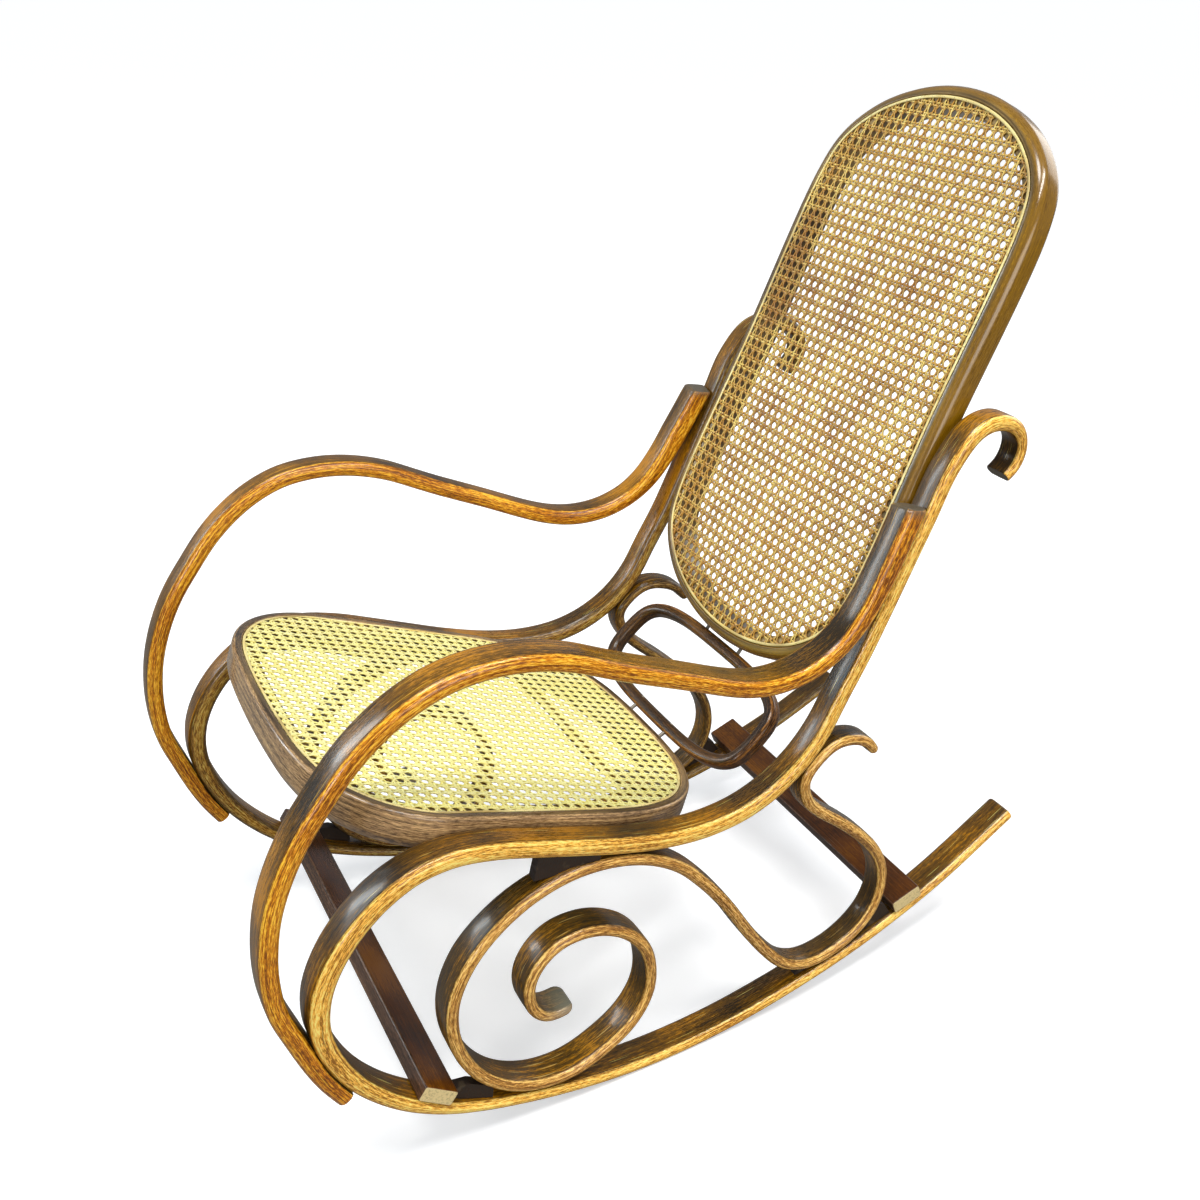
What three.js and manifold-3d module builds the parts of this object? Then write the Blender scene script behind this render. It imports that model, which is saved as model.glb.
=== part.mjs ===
import * as THREE from "three";
import Module from "manifold-3d";

// Bentwood rocking chair. Lengths are millimetres, angles are degrees.
// The chair faces -Y, the sitter's left is +X, up is +Z.
// Side outlines are drawn as [u, w]: u runs to the rear, w runs up, both from the middle of the runner.

const wasm = await Module();
wasm.setup();

// Whole chair
const restTilt = -11.2;
const gap = 0.3;
const soleFlat = 1.3;
const curveSteps = 14;
const bendTurn = 14;
const bendStep = 44;

// Side frames stand closer together at the rear than at the front
const toeInShare = -0.0813;
const leanShare = 0.0086;
const rodWidth = 33.5;
const rodCorner = 5.5;
const rodCornerSteps = 2;
const braceCornerSteps = 1;

// A table of bows gives [mark number, distance outwards from the plane of the side]

// Side frame: scroll, back post, seat rail, front loop, runner, tail
const frameLine = [
  [384, 701], [393, 711], [396.5, 725], [394, 738.5], [385, 750.5], [370, 757.5], [353, 759],
  [337, 755], [324, 746.5], [314, 733], [306.5, 717], [300, 699], [292.5, 659], [280, 601],
  [268.5, 547.5], [257, 498.5], [244, 455.5], [232, 414], [214, 380], [187, 350.5], [152.5, 328],
  [108, 313.5], [58, 308], [0, 310], [-50, 315.5], [-100, 321.5], [-146, 326], [-190, 324],
  [-226, 311], [-256, 286], [-278, 255], [-292, 221], [-297, 186], [-291, 150], [-273, 115],
  [-242, 78], [-196, 44], [-148, 22.5], [-99, 11], [0, 4], [99, 10], [198, 31], [297, 67],
  [396.5, 116], [495.5, 182.5], [585, 262],
];
const postBow = -2.5;
const frameBowMarks = [
  [0, postBow], [15, postBow], [21, 0],
];
const scrollTipThick = 13.5;
const postThick = 18.5;
const railThick = 20;
const loopThick = 21.5;
const runnerThick = 14.5;
const frameThickMarks = [
  [0, scrollTipThick], [3, scrollTipThick], [6, postThick], [17, postThick], [20, railThick],
  [29, railThick], [32, loopThick], [34, railThick], [38, runnerThick], [45, runnerThick],
];

// Arm: from the front of the post, over the armrest, round the front, down to the loop
const armLine = [
  [270, 664], [262, 635], [253, 604], [242.5, 570.5], [228, 539.5], [209, 515.5], [180.5, 495],
  [150, 484], [125, 480.5], [101, 481], [76, 484.5], [50.5, 489.5], [19, 496], [-44, 508],
  [-75, 515], [-106.5, 522], [-137.5, 525], [-168.5, 524], [-200.5, 518], [-232.5, 506],
  [-260.5, 487], [-283.5, 464], [-305, 434], [-324, 395.5], [-339, 360], [-348.5, 324],
  [-353, 288], [-352.5, 258], [-347.5, 222], [-335.5, 183], [-314.5, 145], [-291, 107],
  [-274.5, 84.5], [-256, 64],
];
const armBowMarks = [
  [0, postBow], [3, 5], [6, 10], [9, 11.5], [12, 11.5], [15, 10], [19, 5],
  [23, -2], [26, -5], [29, -4.5], [33, 0],
];
const armTopThick = 26;
const armBendThick = 20.5;
const armRestThick = 19;
const armFootThick = 13;
const armThickMarks = [
  [0, armTopThick], [2, armTopThick], [5, armBendThick], [12, armRestThick],
  [29, armRestThick], [33, armFootThick],
];

// Scroll brace: spiral, big loop, rear loop, waist, curl
const braceLine = [
  [-11.5, 116], [-41.5, 109.5], [-62.5, 125.5], [-72, 153], [-66.5, 178.5], [-49.5, 199], [-22, 208.5],
  [8, 207], [41, 193.5], [67, 169], [81.5, 136], [84, 106], [71.5, 72.5], [45, 45.5], [10, 25],
  [-30, 19.5], [-70, 28.5], [-104, 49], [-132, 80], [-150.5, 117], [-156.5, 155],
  [-148.5, 194], [-129, 229], [-97, 261], [-55, 283], [-8, 291.3], [38, 287], [81, 271.5],
  [122, 243.5], [163, 208], [203, 167.5], [242, 131.5], [276, 107], [312, 98.8],
  [347, 108.2], [376, 128.6], [394.5, 156], [398.5, 187], [390, 217], [370, 244],
  [338, 269.5], [298, 293.5], [262, 312], [237, 330], [224.5, 356], [236, 381],
  [254, 397], [275, 401], [300, 396], [317, 382.5],
];
const braceThick = 14.5;
const braceTipThick = 11.5;
const braceThickMarks = [
  [0, braceTipThick], [3, braceThick], [47, braceThick], [49, braceTipThick],
];
const braceWidth = 32.5;

// Stretcher bars lie flat on the runners, their end grain flush with the outer faces
const barWidth = 40;
const barHeight = 17.5;
const barChamfer = 2;
const barSettle = 0.8;
const frontBarAt = -162;
const rearBarAt = 456;

// Seat: a plane that falls towards the rear
const seatOrigin = [-24.5, 329.5];
const seatPitch = -6.36;
const seatClear = 1.2;
const seatLength = 478;
const seatWidestShare = 0.345;
const seatHalfShares = [
  [0, -0.603], [0.261, -0.6], [0.478, -0.591], [0.651, -0.57], [0.803, -0.529],
  [0.916, -0.471], [0.977, -0.408], [1, -0.345], [0.99, -0.282], [0.978, -0.209],
  [0.963, -0.115], [0.943, 0], [0.923, 0.094], [0.881, 0.184], [0.786, 0.276], [0.638, 0.341],
  [0.452, 0.379], [0.239, 0.394], [0, 0.397],
];
const seatRimWidth = 11;
const seatRimRound = 3.5;
const seatRimRise = 1.2;
const seatLandWidth = 17;
const seatLandDrop = 2.2;
const seatDeep = 38;
const seatUnderRound = 4;

// Back: a plane that leans to the rear
const backFoot = [227.4, 423.1];
const backLean = 77.5;
const backHalfWidth = 187.5;
const backClear = 8.15;
const backStraightHalf = 210;
const backEndHeight = 120;
const backTaperShare = -0.0000984;
const backRimWidth = 13.3;
const backRimRound = 11.5;
const backRimRise = 1.2;
const backLandWidth = 12.7;
const backLandDrop = 2.2;
const backDeep = 34;
const backUnderRound = 4;

// Woven panels and their splines
const caneThick = 1.4;
const caneSeatGap = 0.4;
const canePitch = 40;
const caneGapSide = 31;
const caneEdge = 20;
const splineWidth = 4;
const splineThick = 2;

// Ring that links the seat and the back
const ringOrigin = [208.5, 360.5];
const ringLean = 53.8;
const ringHalfWidth = 155;
const ringHalfHeight = 63.5;
const ringSquareness = 3.4;
const ringThick = 14.5;
const ringDeep = 18;
const ringCorner = 4;

// Wedge blocks between the brace and its neighbours
const blockWidth = 12;
const toeBlock = [[-141, 22], [-86, 12], [-88, 32], [-116, 41], [-138, 39]];
const railBlock = [[-92, 280], [-24, 292], [-22, 306], [-92, 316]];
const heelBlock = [[306, 76], [307, 97], [322, 100], [344, 96], [330, 78]];
const tailBlock = [[388, 116], [398, 150], [404, 163], [419, 160], [434, 144], [410, 120]];

// Screws
const shankRadius = 2.2;
const headRadius = 4.6;
const headHeight = 2.8;
const pointLength = 4;
const headSink = 3.4;
const mouthReach = 6;
const screwSides = 8;
const jointScrews = [
  { name: "arm_top_screw", at: [291.6, 622], aim: [-0.978, 0.207], length: 32, other: "arm" },
  { name: "arm_foot_screw", at: [-264.2, 119.6], aim: [-0.88, -0.47], length: 27, other: "arm" },
  { name: "brace_rail_screw", at: [-8, 284], aim: [0, 1], length: 27, other: "brace" },
  { name: "brace_runner_screw", at: [-30, 26.7], aim: [0, -1], length: 18, other: "brace" },
  { name: "brace_post_screw", at: [239.5, 366], aim: [-0.85, 0.53], length: 25, other: "brace" },
];
const barScrewLength = 22;
const seatScrewLength = 44;
const backScrewLength = 44;
const ringTopScrewLength = 32;
const ringFootScrewLength = 32;
const seatScrewAt = [-130, 30];
const seatScrewDepth = 18;
const backScrewAt = [-185, -50];
const backScrewDepth = 14;
const ringScrewX = 35;
const ringTopScrewAim = [0.4, 0.917];
const ringFootScrewAim = [-0.75, -0.66];
const ringFootScrewLift = 2;

// Corners closer than one part of a millimetre are one corner
const cornerParts = 1000;

// Curves and sections

const radians = THREE.MathUtils.degToRad;

// The point of a smooth line through its marks, kept only where it turns or runs far enough
function stations(marks, thickMarks, bowMarks, closed) {
  const points = marks.map(([a, b]) => new THREE.Vector3(a, b, 0));
  const curve = new THREE.CatmullRomCurve3(points, closed, "centripetal");
  const spans = closed ? marks.length : marks.length - 1;
  const total = spans * curveSteps;
  const all = [];
  for (let i = 0; i < (closed ? total : total + 1); i += 1) {
    const share = i / total;
    const p = curve.getPoint(share);
    const d = curve.getTangent(share);
    const at = share * spans;
    const [thick, bow] = [valueAt(thickMarks, at), valueAt(bowMarks, at)];
    all.push({ a: p.x, b: p.y, da: d.x, db: d.y, thick, bow });
  }
  const kept = [all[0]];
  let run = 0;
  for (let i = 1; i < all.length; i += 1) {
    const last = kept[kept.length - 1];
    run += Math.hypot(all[i].a - all[i - 1].a, all[i].b - all[i - 1].b);
    const turn = Math.acos(Math.min(1, last.da * all[i].da + last.db * all[i].db));
    const end = !closed && i === all.length - 1;
    if (end || turn > radians(bendTurn) || run > bendStep) {
      kept.push(all[i]);
      run = 0;
    }
  }
  return kept;
}

// The value between the marks of a table of [mark number, value]
function valueAt(table, at) {
  if (!table) {
    return 0;
  }
  for (let i = 1; i < table.length; i += 1) {
    const [a, valueA] = table[i - 1];
    const [b, valueB] = table[i];
    if (at <= b) {
      return THREE.MathUtils.mapLinear(at, a, b, valueA, valueB);
    }
  }
  return table[table.length - 1][1];
}

// Corners of a rounded rectangle about its centre, counter-clockwise
function roundedSection(width, height, corner, steps) {
  const section = [];
  const centres = [[1, 1], [-1, 1], [-1, -1], [1, -1]];
  centres.forEach(([sx, sy], quarter) => {
    for (let i = 0; i <= steps; i += 1) {
      const angle = (Math.PI / 2) * (quarter + i / steps);
      const x = sx * (width / 2 - corner) + corner * Math.cos(angle);
      const y = sy * (height / 2 - corner) + corner * Math.sin(angle);
      section.push([x, y]);
    }
  });
  return section;
}

// Solids

// A closed solid from rows of points; every row has the same count
function solidFromRows(rows, closed) {
  const count = rows[0].length;
  const points = rows.flat();
  const faces = [];
  const spans = closed ? rows.length : rows.length - 1;
  for (let i = 0; i < spans; i += 1) {
    const next = (i + 1) % rows.length;
    for (let j = 0; j < count; j += 1) {
      const k = (j + 1) % count;
      faces.push([i * count + j, i * count + k, next * count + k]);
      faces.push([i * count + j, next * count + k, next * count + j]);
    }
  }
  if (!closed) {
    const end = (rows.length - 1) * count;
    for (let j = 1; j + 1 < count; j += 1) {
      faces.push([0, j + 1, j]);
      faces.push([end, end + j, end + j + 1]);
    }
  }
  return solidFromFaces(points, faces);
}

function solidFromFaces(points, faces) {
  const build = (triangles) =>
    new wasm.Manifold(
      new wasm.Mesh({
        numProp: 3,
        vertProperties: new Float32Array(points.flat()),
        triVerts: new Uint32Array(triangles.flat()),
      }),
    );
  const made = build(faces);
  return made.volume() < 0 ? build(faces.map(([a, b, c]) => [a, c, b])) : made;
}

// Outer face of a side frame at a place on its outline
function sideFace(u, w) {
  return sideOuter + toeInShare * u + leanShare * w;
}

// A bent rod on one side of the chair; side is 1 on the sitter's left, -1 on the right
function sideRod(side, rod, width, cornerSteps, grow) {
  const rows = stations(rod.line, rod.thick, rod.bow, false).map((at) => {
    const thick = at.thick + 2 * grow;
    const across = width + 2 * grow;
    const corner = Math.min(rodCorner, thick / 2 - gap);
    const middle = sideFace(at.a, at.b) + at.bow - rodWidth / 2;
    return roundedSection(across, thick, corner, cornerSteps).map(([x, y]) => [
      side * (middle + x),
      at.a - at.db * y,
      at.b + at.da * y,
    ]);
  });
  return solidFromRows(rows, false);
}

// A place on a tilted plane: x across, v along it, q out of it
function onPlane(origin, angle, x, v, q) {
  const cos = Math.cos(radians(angle));
  const sin = Math.sin(radians(angle));
  return [x, origin[0] + v * cos - q * sin, origin[1] + v * sin + q * cos];
}

// A hoop that follows a closed outline on a plane; section points are [inwards, out of the plane]
function hoop(outline, section, origin, angle) {
  const rows = stations(outline, null, null, true).map((at) =>
    section.map(([inwards, q]) =>
      onPlane(origin, angle, at.a - at.db * inwards, at.b + at.da * inwards, q),
    ),
  );
  return solidFromRows(rows, true);
}

// A flat plate with a lattice of square gaps, on a plane
function lattice(outline, inset, origin, angle, top) {
  const edge = insetOutline(outline, inset);
  const layer = (corners, q) => corners.map(([x, v]) => onPlane(origin, angle, x, v, q));
  const shape = new THREE.Shape(edge.map(([x, v]) => new THREE.Vector2(x, v)));
  const flat = new THREE.ExtrudeGeometry(shape, { depth: caneThick, bevelEnabled: false });
  const place = ([x, v, q]) => onPlane(origin, angle, x, v, top - caneThick + q);
  const plate = solidFromGeometry(flat, place);
  const clear = insetOutline(outline, inset + caneEdge);
  const reachX = Math.ceil(Math.max(...edge.map(([x]) => x)) / canePitch);
  const reachV = Math.ceil(Math.max(...edge.map(([, v]) => Math.abs(v))) / canePitch);
  const half = caneGapSide / 2;
  const cutters = [];
  for (let i = -reachX; i <= reachX; i += 1) {
    for (let j = -reachV; j <= reachV; j += 1) {
      const x = i * canePitch;
      const v = (j + 1 / 2) * canePitch;
      const signs = [[-1, -1], [1, -1], [1, 1], [-1, 1]];
      const corners = signs.map(([sx, sv]) => [x + sx * half, v + sv * half]);
      if (corners.every((corner) => inside(corner, clear))) {
        const rows = [layer(corners, top - 2 * caneThick), layer(corners, top + caneThick)];
        cutters.push(solidFromRows(rows, false));
      }
    }
  }
  return plate.subtract(wasm.Manifold.union(cutters));
}

function insetOutline(outline, inset) {
  return stations(outline, null, null, true).map((at) => [at.a - at.db * inset, at.b + at.da * inset]);
}

function inside([x, y], outline) {
  let odd = false;
  outline.forEach(([ax, ay], i) => {
    const [bx, by] = outline[(i + 1) % outline.length];
    if (ay > y !== by > y && x < ((bx - ax) * (y - ay)) / (by - ay) + ax) {
      odd = !odd;
    }
  });
  return odd;
}

// A solid from three.js geometry, its equal corners joined and moved by a function
function solidFromGeometry(geometry, move) {
  const plain = geometry.index ? geometry.toNonIndexed() : geometry;
  const position = plain.getAttribute("position");
  const places = new Map();
  const points = [];
  const corners = [];
  for (let i = 0; i < position.count; i += 1) {
    const p = [position.getX(i), position.getY(i), position.getZ(i)];
    const key = p.map((value) => Math.round(value * cornerParts)).join();
    if (!places.has(key)) {
      places.set(key, points.length);
      points.push(move(p));
    }
    corners.push(places.get(key));
  }
  const faces = [];
  for (let i = 0; i < corners.length; i += 3) {
    faces.push(corners.slice(i, i + 3));
  }
  return solidFromFaces(points, faces);
}

// A prism across the chair with a [u, w] outline, its middle at x
function prism(outline, x, width) {
  const row = (at) => outline.map(([u, w]) => [at, u, w]);
  return solidFromRows([row(x - width / 2), row(x + width / 2)], false);
}

// A turned solid about a direction: profile points are [radius, distance along the direction]
function turned(profile, from, direction) {
  const lathe = new THREE.LatheGeometry(
    profile.map(([radius, along]) => new THREE.Vector2(radius, along)),
    screwSides,
  );
  const axis = new THREE.Vector3(...direction).normalize();
  lathe.applyQuaternion(new THREE.Quaternion().setFromUnitVectors(new THREE.Vector3(0, 1, 0), axis));
  lathe.translate(...from);
  return solidFromGeometry(lathe, (p) => p);
}

// Outlines

function mirrored(half) {
  const other = half.slice(1, -1).reverse().map(([x, v]) => [-x, v]);
  return [...half, ...other];
}

// A hoop outline with straight flanks and elliptic ends, wider towards the bottom
function backOutline() {
  const endSteps = 8;
  const outline = [];
  [1, -1].forEach((end) => {
    for (let i = 0; i <= endSteps; i += 1) {
      const angle = (Math.PI * i) / endSteps;
      const x = end * backHalfWidth * Math.cos(angle);
      const v = end * (backStraightHalf + backEndHeight * Math.sin(angle));
      outline.push([x * (1 + backTaperShare * v), v]);
    }
    outline.push([-end * backHalfWidth, 0]);
  });
  return outline;
}

function ringOutline() {
  const steps = 28;
  const outline = [];
  for (let i = 0; i < steps; i += 1) {
    const angle = (2 * Math.PI * (i + 1 / 2)) / steps;
    const power = 2 / ringSquareness;
    const x = Math.sign(Math.cos(angle)) * Math.abs(Math.cos(angle)) ** power;
    const v = Math.sign(Math.sin(angle)) * Math.abs(Math.sin(angle)) ** power;
    outline.push([x * ringHalfWidth, v * ringHalfHeight]);
  }
  return outline;
}

// Section of a cane frame: rounded rim, step down to a land, deep side
function caneFrameSection(rim, round, rise, land, drop, deep, under) {
  return [
    [0, -deep + under],
    [0, rise - round],
    [round, rise],
    [rim - rise, rise],
    [rim, 0],
    [rim, -drop],
    [rim + land, -drop],
    [rim + land, -deep + under],
    [rim + land - under, -deep],
    [under, -deep],
  ];
}

// The place and direction of the runner under a given u
function runnerAt(u) {
  const all = stations(frameLine, frameThickMarks, frameBowMarks, false);
  const line = all.filter((at) => at.da > 0 && at.b < seatOrigin[1]);
  const next = line.findIndex((at) => at.a > u);
  const [from, to] = [line[next - 1], line[next]];
  const angle = Math.atan2(to.b - from.b, to.a - from.a);
  const w = THREE.MathUtils.mapLinear(u, from.a, to.a, from.b, to.b);
  return { u, w, angle, thick: from.thick };
}

// A stretcher bar from outer face to outer face
function stretcher(u, grow) {
  const foot = runnerAt(u);
  const lift = foot.thick / 2 + barSettle + barHeight / 2;
  const cos = Math.cos(foot.angle);
  const sin = Math.sin(foot.angle);
  const centre = [foot.u - sin * lift, foot.w + cos * lift];
  const half = sideFace(centre[0], centre[1]);
  const section = roundedSection(barWidth + 2 * grow, barHeight + 2 * grow, barChamfer, 1);
  const place = ([a, b]) => [centre[0] + a * cos - b * sin, centre[1] + a * sin + b * cos];
  const outline = section.map(place);
  return prism(outline, 0, 2 * half);
}

// Parts

const solids = new Map();
const slots = new Map();

function add(name, slot, solid) {
  solids.set(name, solid);
  slots.set(name, slot);
}

const backHalfLength = backStraightHalf + backEndHeight;
const backOrigin = [
  backFoot[0] + backHalfLength * Math.cos(radians(backLean)),
  backFoot[1] + backHalfLength * Math.sin(radians(backLean)),
];
const sideOuter =
  backHalfWidth + backClear + rodWidth - toeInShare * backOrigin[0] - leanShare * backOrigin[1];
const seatWidestAt = seatOrigin[0] - seatWidestShare * seatLength;
const seatHalfWidth = sideFace(seatWidestAt, seatOrigin[1]) - rodWidth - seatClear;

const sides = [["left", 1], ["right", -1]];
const frameRod = { line: frameLine, thick: frameThickMarks, bow: frameBowMarks };
const armRod = { line: armLine, thick: armThickMarks, bow: armBowMarks };
const braceRod = { line: braceLine, thick: braceThickMarks, bow: null };
const cutWidth = rodWidth + 2 * rodCorner;

sides.forEach(([label, side]) => {
  add(`side_frame_${label}`, "wood", sideRod(side, frameRod, rodWidth, rodCornerSteps, 0));
  add(`arm_${label}`, "wood", sideRod(side, armRod, rodWidth, rodCornerSteps, 0));
  add(`brace_${label}`, "wood", sideRod(side, braceRod, braceWidth, braceCornerSteps, 0));
});
add("front_stretcher", "wood", stretcher(frontBarAt, 0));
add("rear_stretcher", "wood", stretcher(rearBarAt, 0));

// Arms and stretchers are fitted to the side frames wherever they lie together
sides.forEach(([label, side]) => {
  const grown = sideRod(side, frameRod, cutWidth, braceCornerSteps, gap);
  [`arm_${label}`, "front_stretcher", "rear_stretcher"].forEach((name) => {
    solids.set(name, solids.get(name).subtract(grown));
  });
});

// The blocks are cut to the pieces round them
const blocks = [
  ["toe_block", toeBlock],
  ["rail_block", railBlock],
  ["heel_block", heelBlock],
  ["tail_block", tailBlock],
];
sides.forEach(([label, side]) => {
  const around = [
    sideRod(side, frameRod, cutWidth, braceCornerSteps, gap),
    sideRod(side, braceRod, cutWidth, braceCornerSteps, gap),
    stretcher(frontBarAt, gap),
    stretcher(rearBarAt, gap),
  ];
  blocks.forEach(([name, outline]) => {
    const [u, w] = outline[0];
    const x = side * (sideFace(u, w) - rodWidth / 2);
    const cut = around.reduce((solid, other) => solid.subtract(other), prism(outline, x, blockWidth));
    add(`${name}_${label}`, "block", cut);
  });
});

// Seat
const seatOutline = mirrored(seatHalfShares.map(([x, v]) => [x * seatHalfWidth, v * seatLength]));
const seatSection = caneFrameSection(
  seatRimWidth, seatRimRound, seatRimRise, seatLandWidth, seatLandDrop, seatDeep, seatUnderRound,
);
const splineSection = (from) => [
  [from, 0],
  [from + splineWidth, 0],
  [from + splineWidth, splineThick],
  [from, splineThick],
];
const caneTop = -seatLandDrop + caneSeatGap + caneThick;
const raised = (section, q) => section.map(([a, b]) => [a, b + q]);
add("seat_frame", "wood", hoop(seatOutline, seatSection, seatOrigin, seatPitch));
add("seat_cane", "cane", lattice(seatOutline, seatRimWidth + caneSeatGap, seatOrigin, seatPitch, caneTop));
add(
  "seat_spline",
  "spline",
  hoop(seatOutline, raised(splineSection(seatRimWidth + caneSeatGap), caneTop + gap), seatOrigin, seatPitch),
);

// Back
const hoopOutline = backOutline();
const backSection = caneFrameSection(
  backRimWidth, backRimRound, backRimRise, backLandWidth, backLandDrop, backDeep, backUnderRound,
);
add("back_frame", "wood", hoop(hoopOutline, backSection, backOrigin, backLean));
add("back_cane", "cane", lattice(hoopOutline, backRimWidth + caneSeatGap, backOrigin, backLean, caneTop));
add(
  "back_spline",
  "spline",
  hoop(hoopOutline, raised(splineSection(backRimWidth + caneSeatGap), caneTop + gap), backOrigin, backLean),
);

// Ring
const ringCorners = roundedSection(ringThick, ringDeep, ringCorner, 1);
const ringSection = ringCorners.map(([a, b]) => [a + ringThick / 2, b]);
add("link_ring", "wood", hoop(ringOutline(), ringSection, ringOrigin, ringLean));

// Screws, each with the members that it passes through
const screws = [];
sides.forEach(([label, side]) => {
  const inSide = (u, w) => [side * (sideFace(u, w) - rodWidth / 2), u, w];
  const frame = `side_frame_${label}`;
  jointScrews.forEach(({ name, at, aim, length, other }) => {
    const members = [frame, `${other}_${label}`];
    screws.push([`${name}_${label}`, inSide(...at), [0, ...aim], length, members]);
  });
  [["front", frontBarAt], ["rear", rearBarAt]].forEach(([end, u]) => {
    const foot = runnerAt(u);
    const normal = [0, -Math.sin(foot.angle), Math.cos(foot.angle)];
    const from = inSide(u - (normal[1] * foot.thick) / 2, foot.w - (normal[2] * foot.thick) / 2);
    const members = [frame, `${end}_stretcher`];
    screws.push([`${end}_stretcher_screw_${label}`, from, normal, barScrewLength, members]);
  });
  seatScrewAt.forEach((v, i) => {
    const inner = seatRimWidth + seatLandWidth;
    const outer = sideFace(seatOrigin[0] + v, seatOrigin[1]) - rodWidth;
    const from = onPlane(seatOrigin, seatPitch, side * (outer - inner), v, -seatScrewDepth);
    const name = `seat_screw_${i + 1}_${label}`;
    screws.push([name, from, [side, 0, 0], seatScrewLength, ["seat_frame", frame]]);
  });
  backScrewAt.forEach((v, i) => {
    const inner = backHalfWidth * (1 + backTaperShare * v) - backRimWidth - backLandWidth;
    const from = onPlane(backOrigin, backLean, side * inner, v, -backScrewDepth);
    const name = `back_screw_${i + 1}_${label}`;
    screws.push([name, from, [side, 0, 0], backScrewLength, ["back_frame", frame]]);
  });
  const ringInner = ringHalfHeight - ringThick;
  const ends = [
    ["top", ringInner, 0, ringTopScrewAim, ringTopScrewLength, "back_frame"],
    ["foot", -ringInner, ringFootScrewLift, ringFootScrewAim, ringFootScrewLength, "seat_frame"],
  ];
  ends.forEach(([end, v, q, aim, length, other]) => {
    const from = onPlane(ringOrigin, ringLean, side * ringScrewX, v, q);
    screws.push([`ring_${end}_screw_${label}`, from, [0, ...aim], length, ["link_ring", other]]);
  });
});

screws.forEach(([name, from, direction, length, members]) => {
  const end = headSink + length;
  const screw = [
    [0, headSink - headHeight],
    [headRadius, headSink - headHeight],
    [headRadius, headSink],
    [shankRadius, headSink],
    [shankRadius, end - pointLength],
    [0, end],
  ];
  const hole = [
    [0, -mouthReach],
    [headRadius + gap, -mouthReach],
    [headRadius + gap, headSink + gap],
    [shankRadius + gap, headSink + gap],
    [shankRadius + gap, end + gap - pointLength],
    [0, end + 2 * gap],
  ];
  add(name, "screw", turned(screw, from, direction));
  const drill = turned(hole, from, direction);
  members.forEach((member) => {
    solids.set(member, solids.get(member).subtract(drill));
  });
});

// Materials and meshes
const materials = {
  wood: new THREE.MeshStandardMaterial({ color: 0x8a5a22, roughness: 0.38 }),
  block: new THREE.MeshStandardMaterial({ color: 0x33363c, roughness: 0.7 }),
  cane: new THREE.MeshStandardMaterial({ color: 0xdcc27a, roughness: 0.6 }),
  spline: new THREE.MeshStandardMaterial({ color: 0xcaa348, roughness: 0.5 }),
  screw: new THREE.MeshStandardMaterial({ color: 0x6f6a5e, roughness: 0.4, metalness: 1 }),
};

// The chair stands in its balance, its runners trimmed flat where they meet the floor
const standing = new Map();
solids.forEach((solid, name) => standing.set(name, solid.rotate([restTilt, 0, 0])));
const floor = standing.get("side_frame_left").boundingBox().min[2] + soleFlat;
sides.forEach(([label]) => {
  const name = `side_frame_${label}`;
  standing.set(name, standing.get(name).trimByPlane([0, 0, 1], floor));
});

const chair = new THREE.Group();
chair.name = "bentwood_rocking_chair";
standing.forEach((solid, name) => {
  const mesh = solid.getMesh();
  const geometry = new THREE.BufferGeometry();
  geometry.setAttribute("position", new THREE.BufferAttribute(mesh.vertProperties, 3));
  geometry.setIndex(new THREE.BufferAttribute(mesh.triVerts, 1));
  geometry.computeVertexNormals();
  const part = new THREE.Mesh(geometry, materials[slots.get(name)]);
  part.name = name;
  chair.add(part);
});

const box = new THREE.Box3().setFromObject(chair);
chair.position.set(0, -(box.min.y + box.max.y) / 2, -box.min.z);

export default chair;
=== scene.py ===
# %% [markdown]
# # A bentwood rocking chair with woven cane
# The chair is made of a few long beech rods that were steamed, bent into scrolls and stained dark brown.
# Years of hands have rubbed the stain off the flat outer faces; their golden colour is partly that wear and
# partly painted light that falls on the sides.
# The seat and the back are bent hoops with a woven cane panel in each.
#
# The imported model is loaded first, because every piece below stands on its solids and rides on its body.

# %% Load the imported model
import math
import random

import bpy
import numpy as np
from mathutils import Matrix, Vector


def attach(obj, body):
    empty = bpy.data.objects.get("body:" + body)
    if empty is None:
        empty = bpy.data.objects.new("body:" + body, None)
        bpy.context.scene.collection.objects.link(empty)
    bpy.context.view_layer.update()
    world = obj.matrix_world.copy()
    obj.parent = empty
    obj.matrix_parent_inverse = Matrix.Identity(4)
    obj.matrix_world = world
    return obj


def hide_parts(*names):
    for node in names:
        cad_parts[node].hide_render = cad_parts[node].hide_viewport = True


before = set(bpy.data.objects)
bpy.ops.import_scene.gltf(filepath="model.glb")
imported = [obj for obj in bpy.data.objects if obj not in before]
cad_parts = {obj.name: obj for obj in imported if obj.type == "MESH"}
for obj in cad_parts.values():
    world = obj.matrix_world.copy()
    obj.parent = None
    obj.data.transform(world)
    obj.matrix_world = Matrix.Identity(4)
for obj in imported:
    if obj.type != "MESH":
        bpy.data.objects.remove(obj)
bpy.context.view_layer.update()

print(len(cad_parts), "solids loaded")

# %% [markdown]
# The chair is drawn as its maker would draw it: one outline of the side, in millimetres, u to the rear and
# w up from the middle of the runner. The side planes stand a little closer together at the rear.
# These are the sizes of the solids, so the fine pieces lie where the plain ones do.

# %% Sizes of the whole chair
MM = 0.001
REST_TILT = math.radians(-11.2)
STAND_Y = -160.5569
STAND_Z = 16.3174
TOE_IN = -0.0813
LEAN = 0.0086
ROD_WIDTH = 33.5
ROD_CORNER = 7.0

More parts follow.
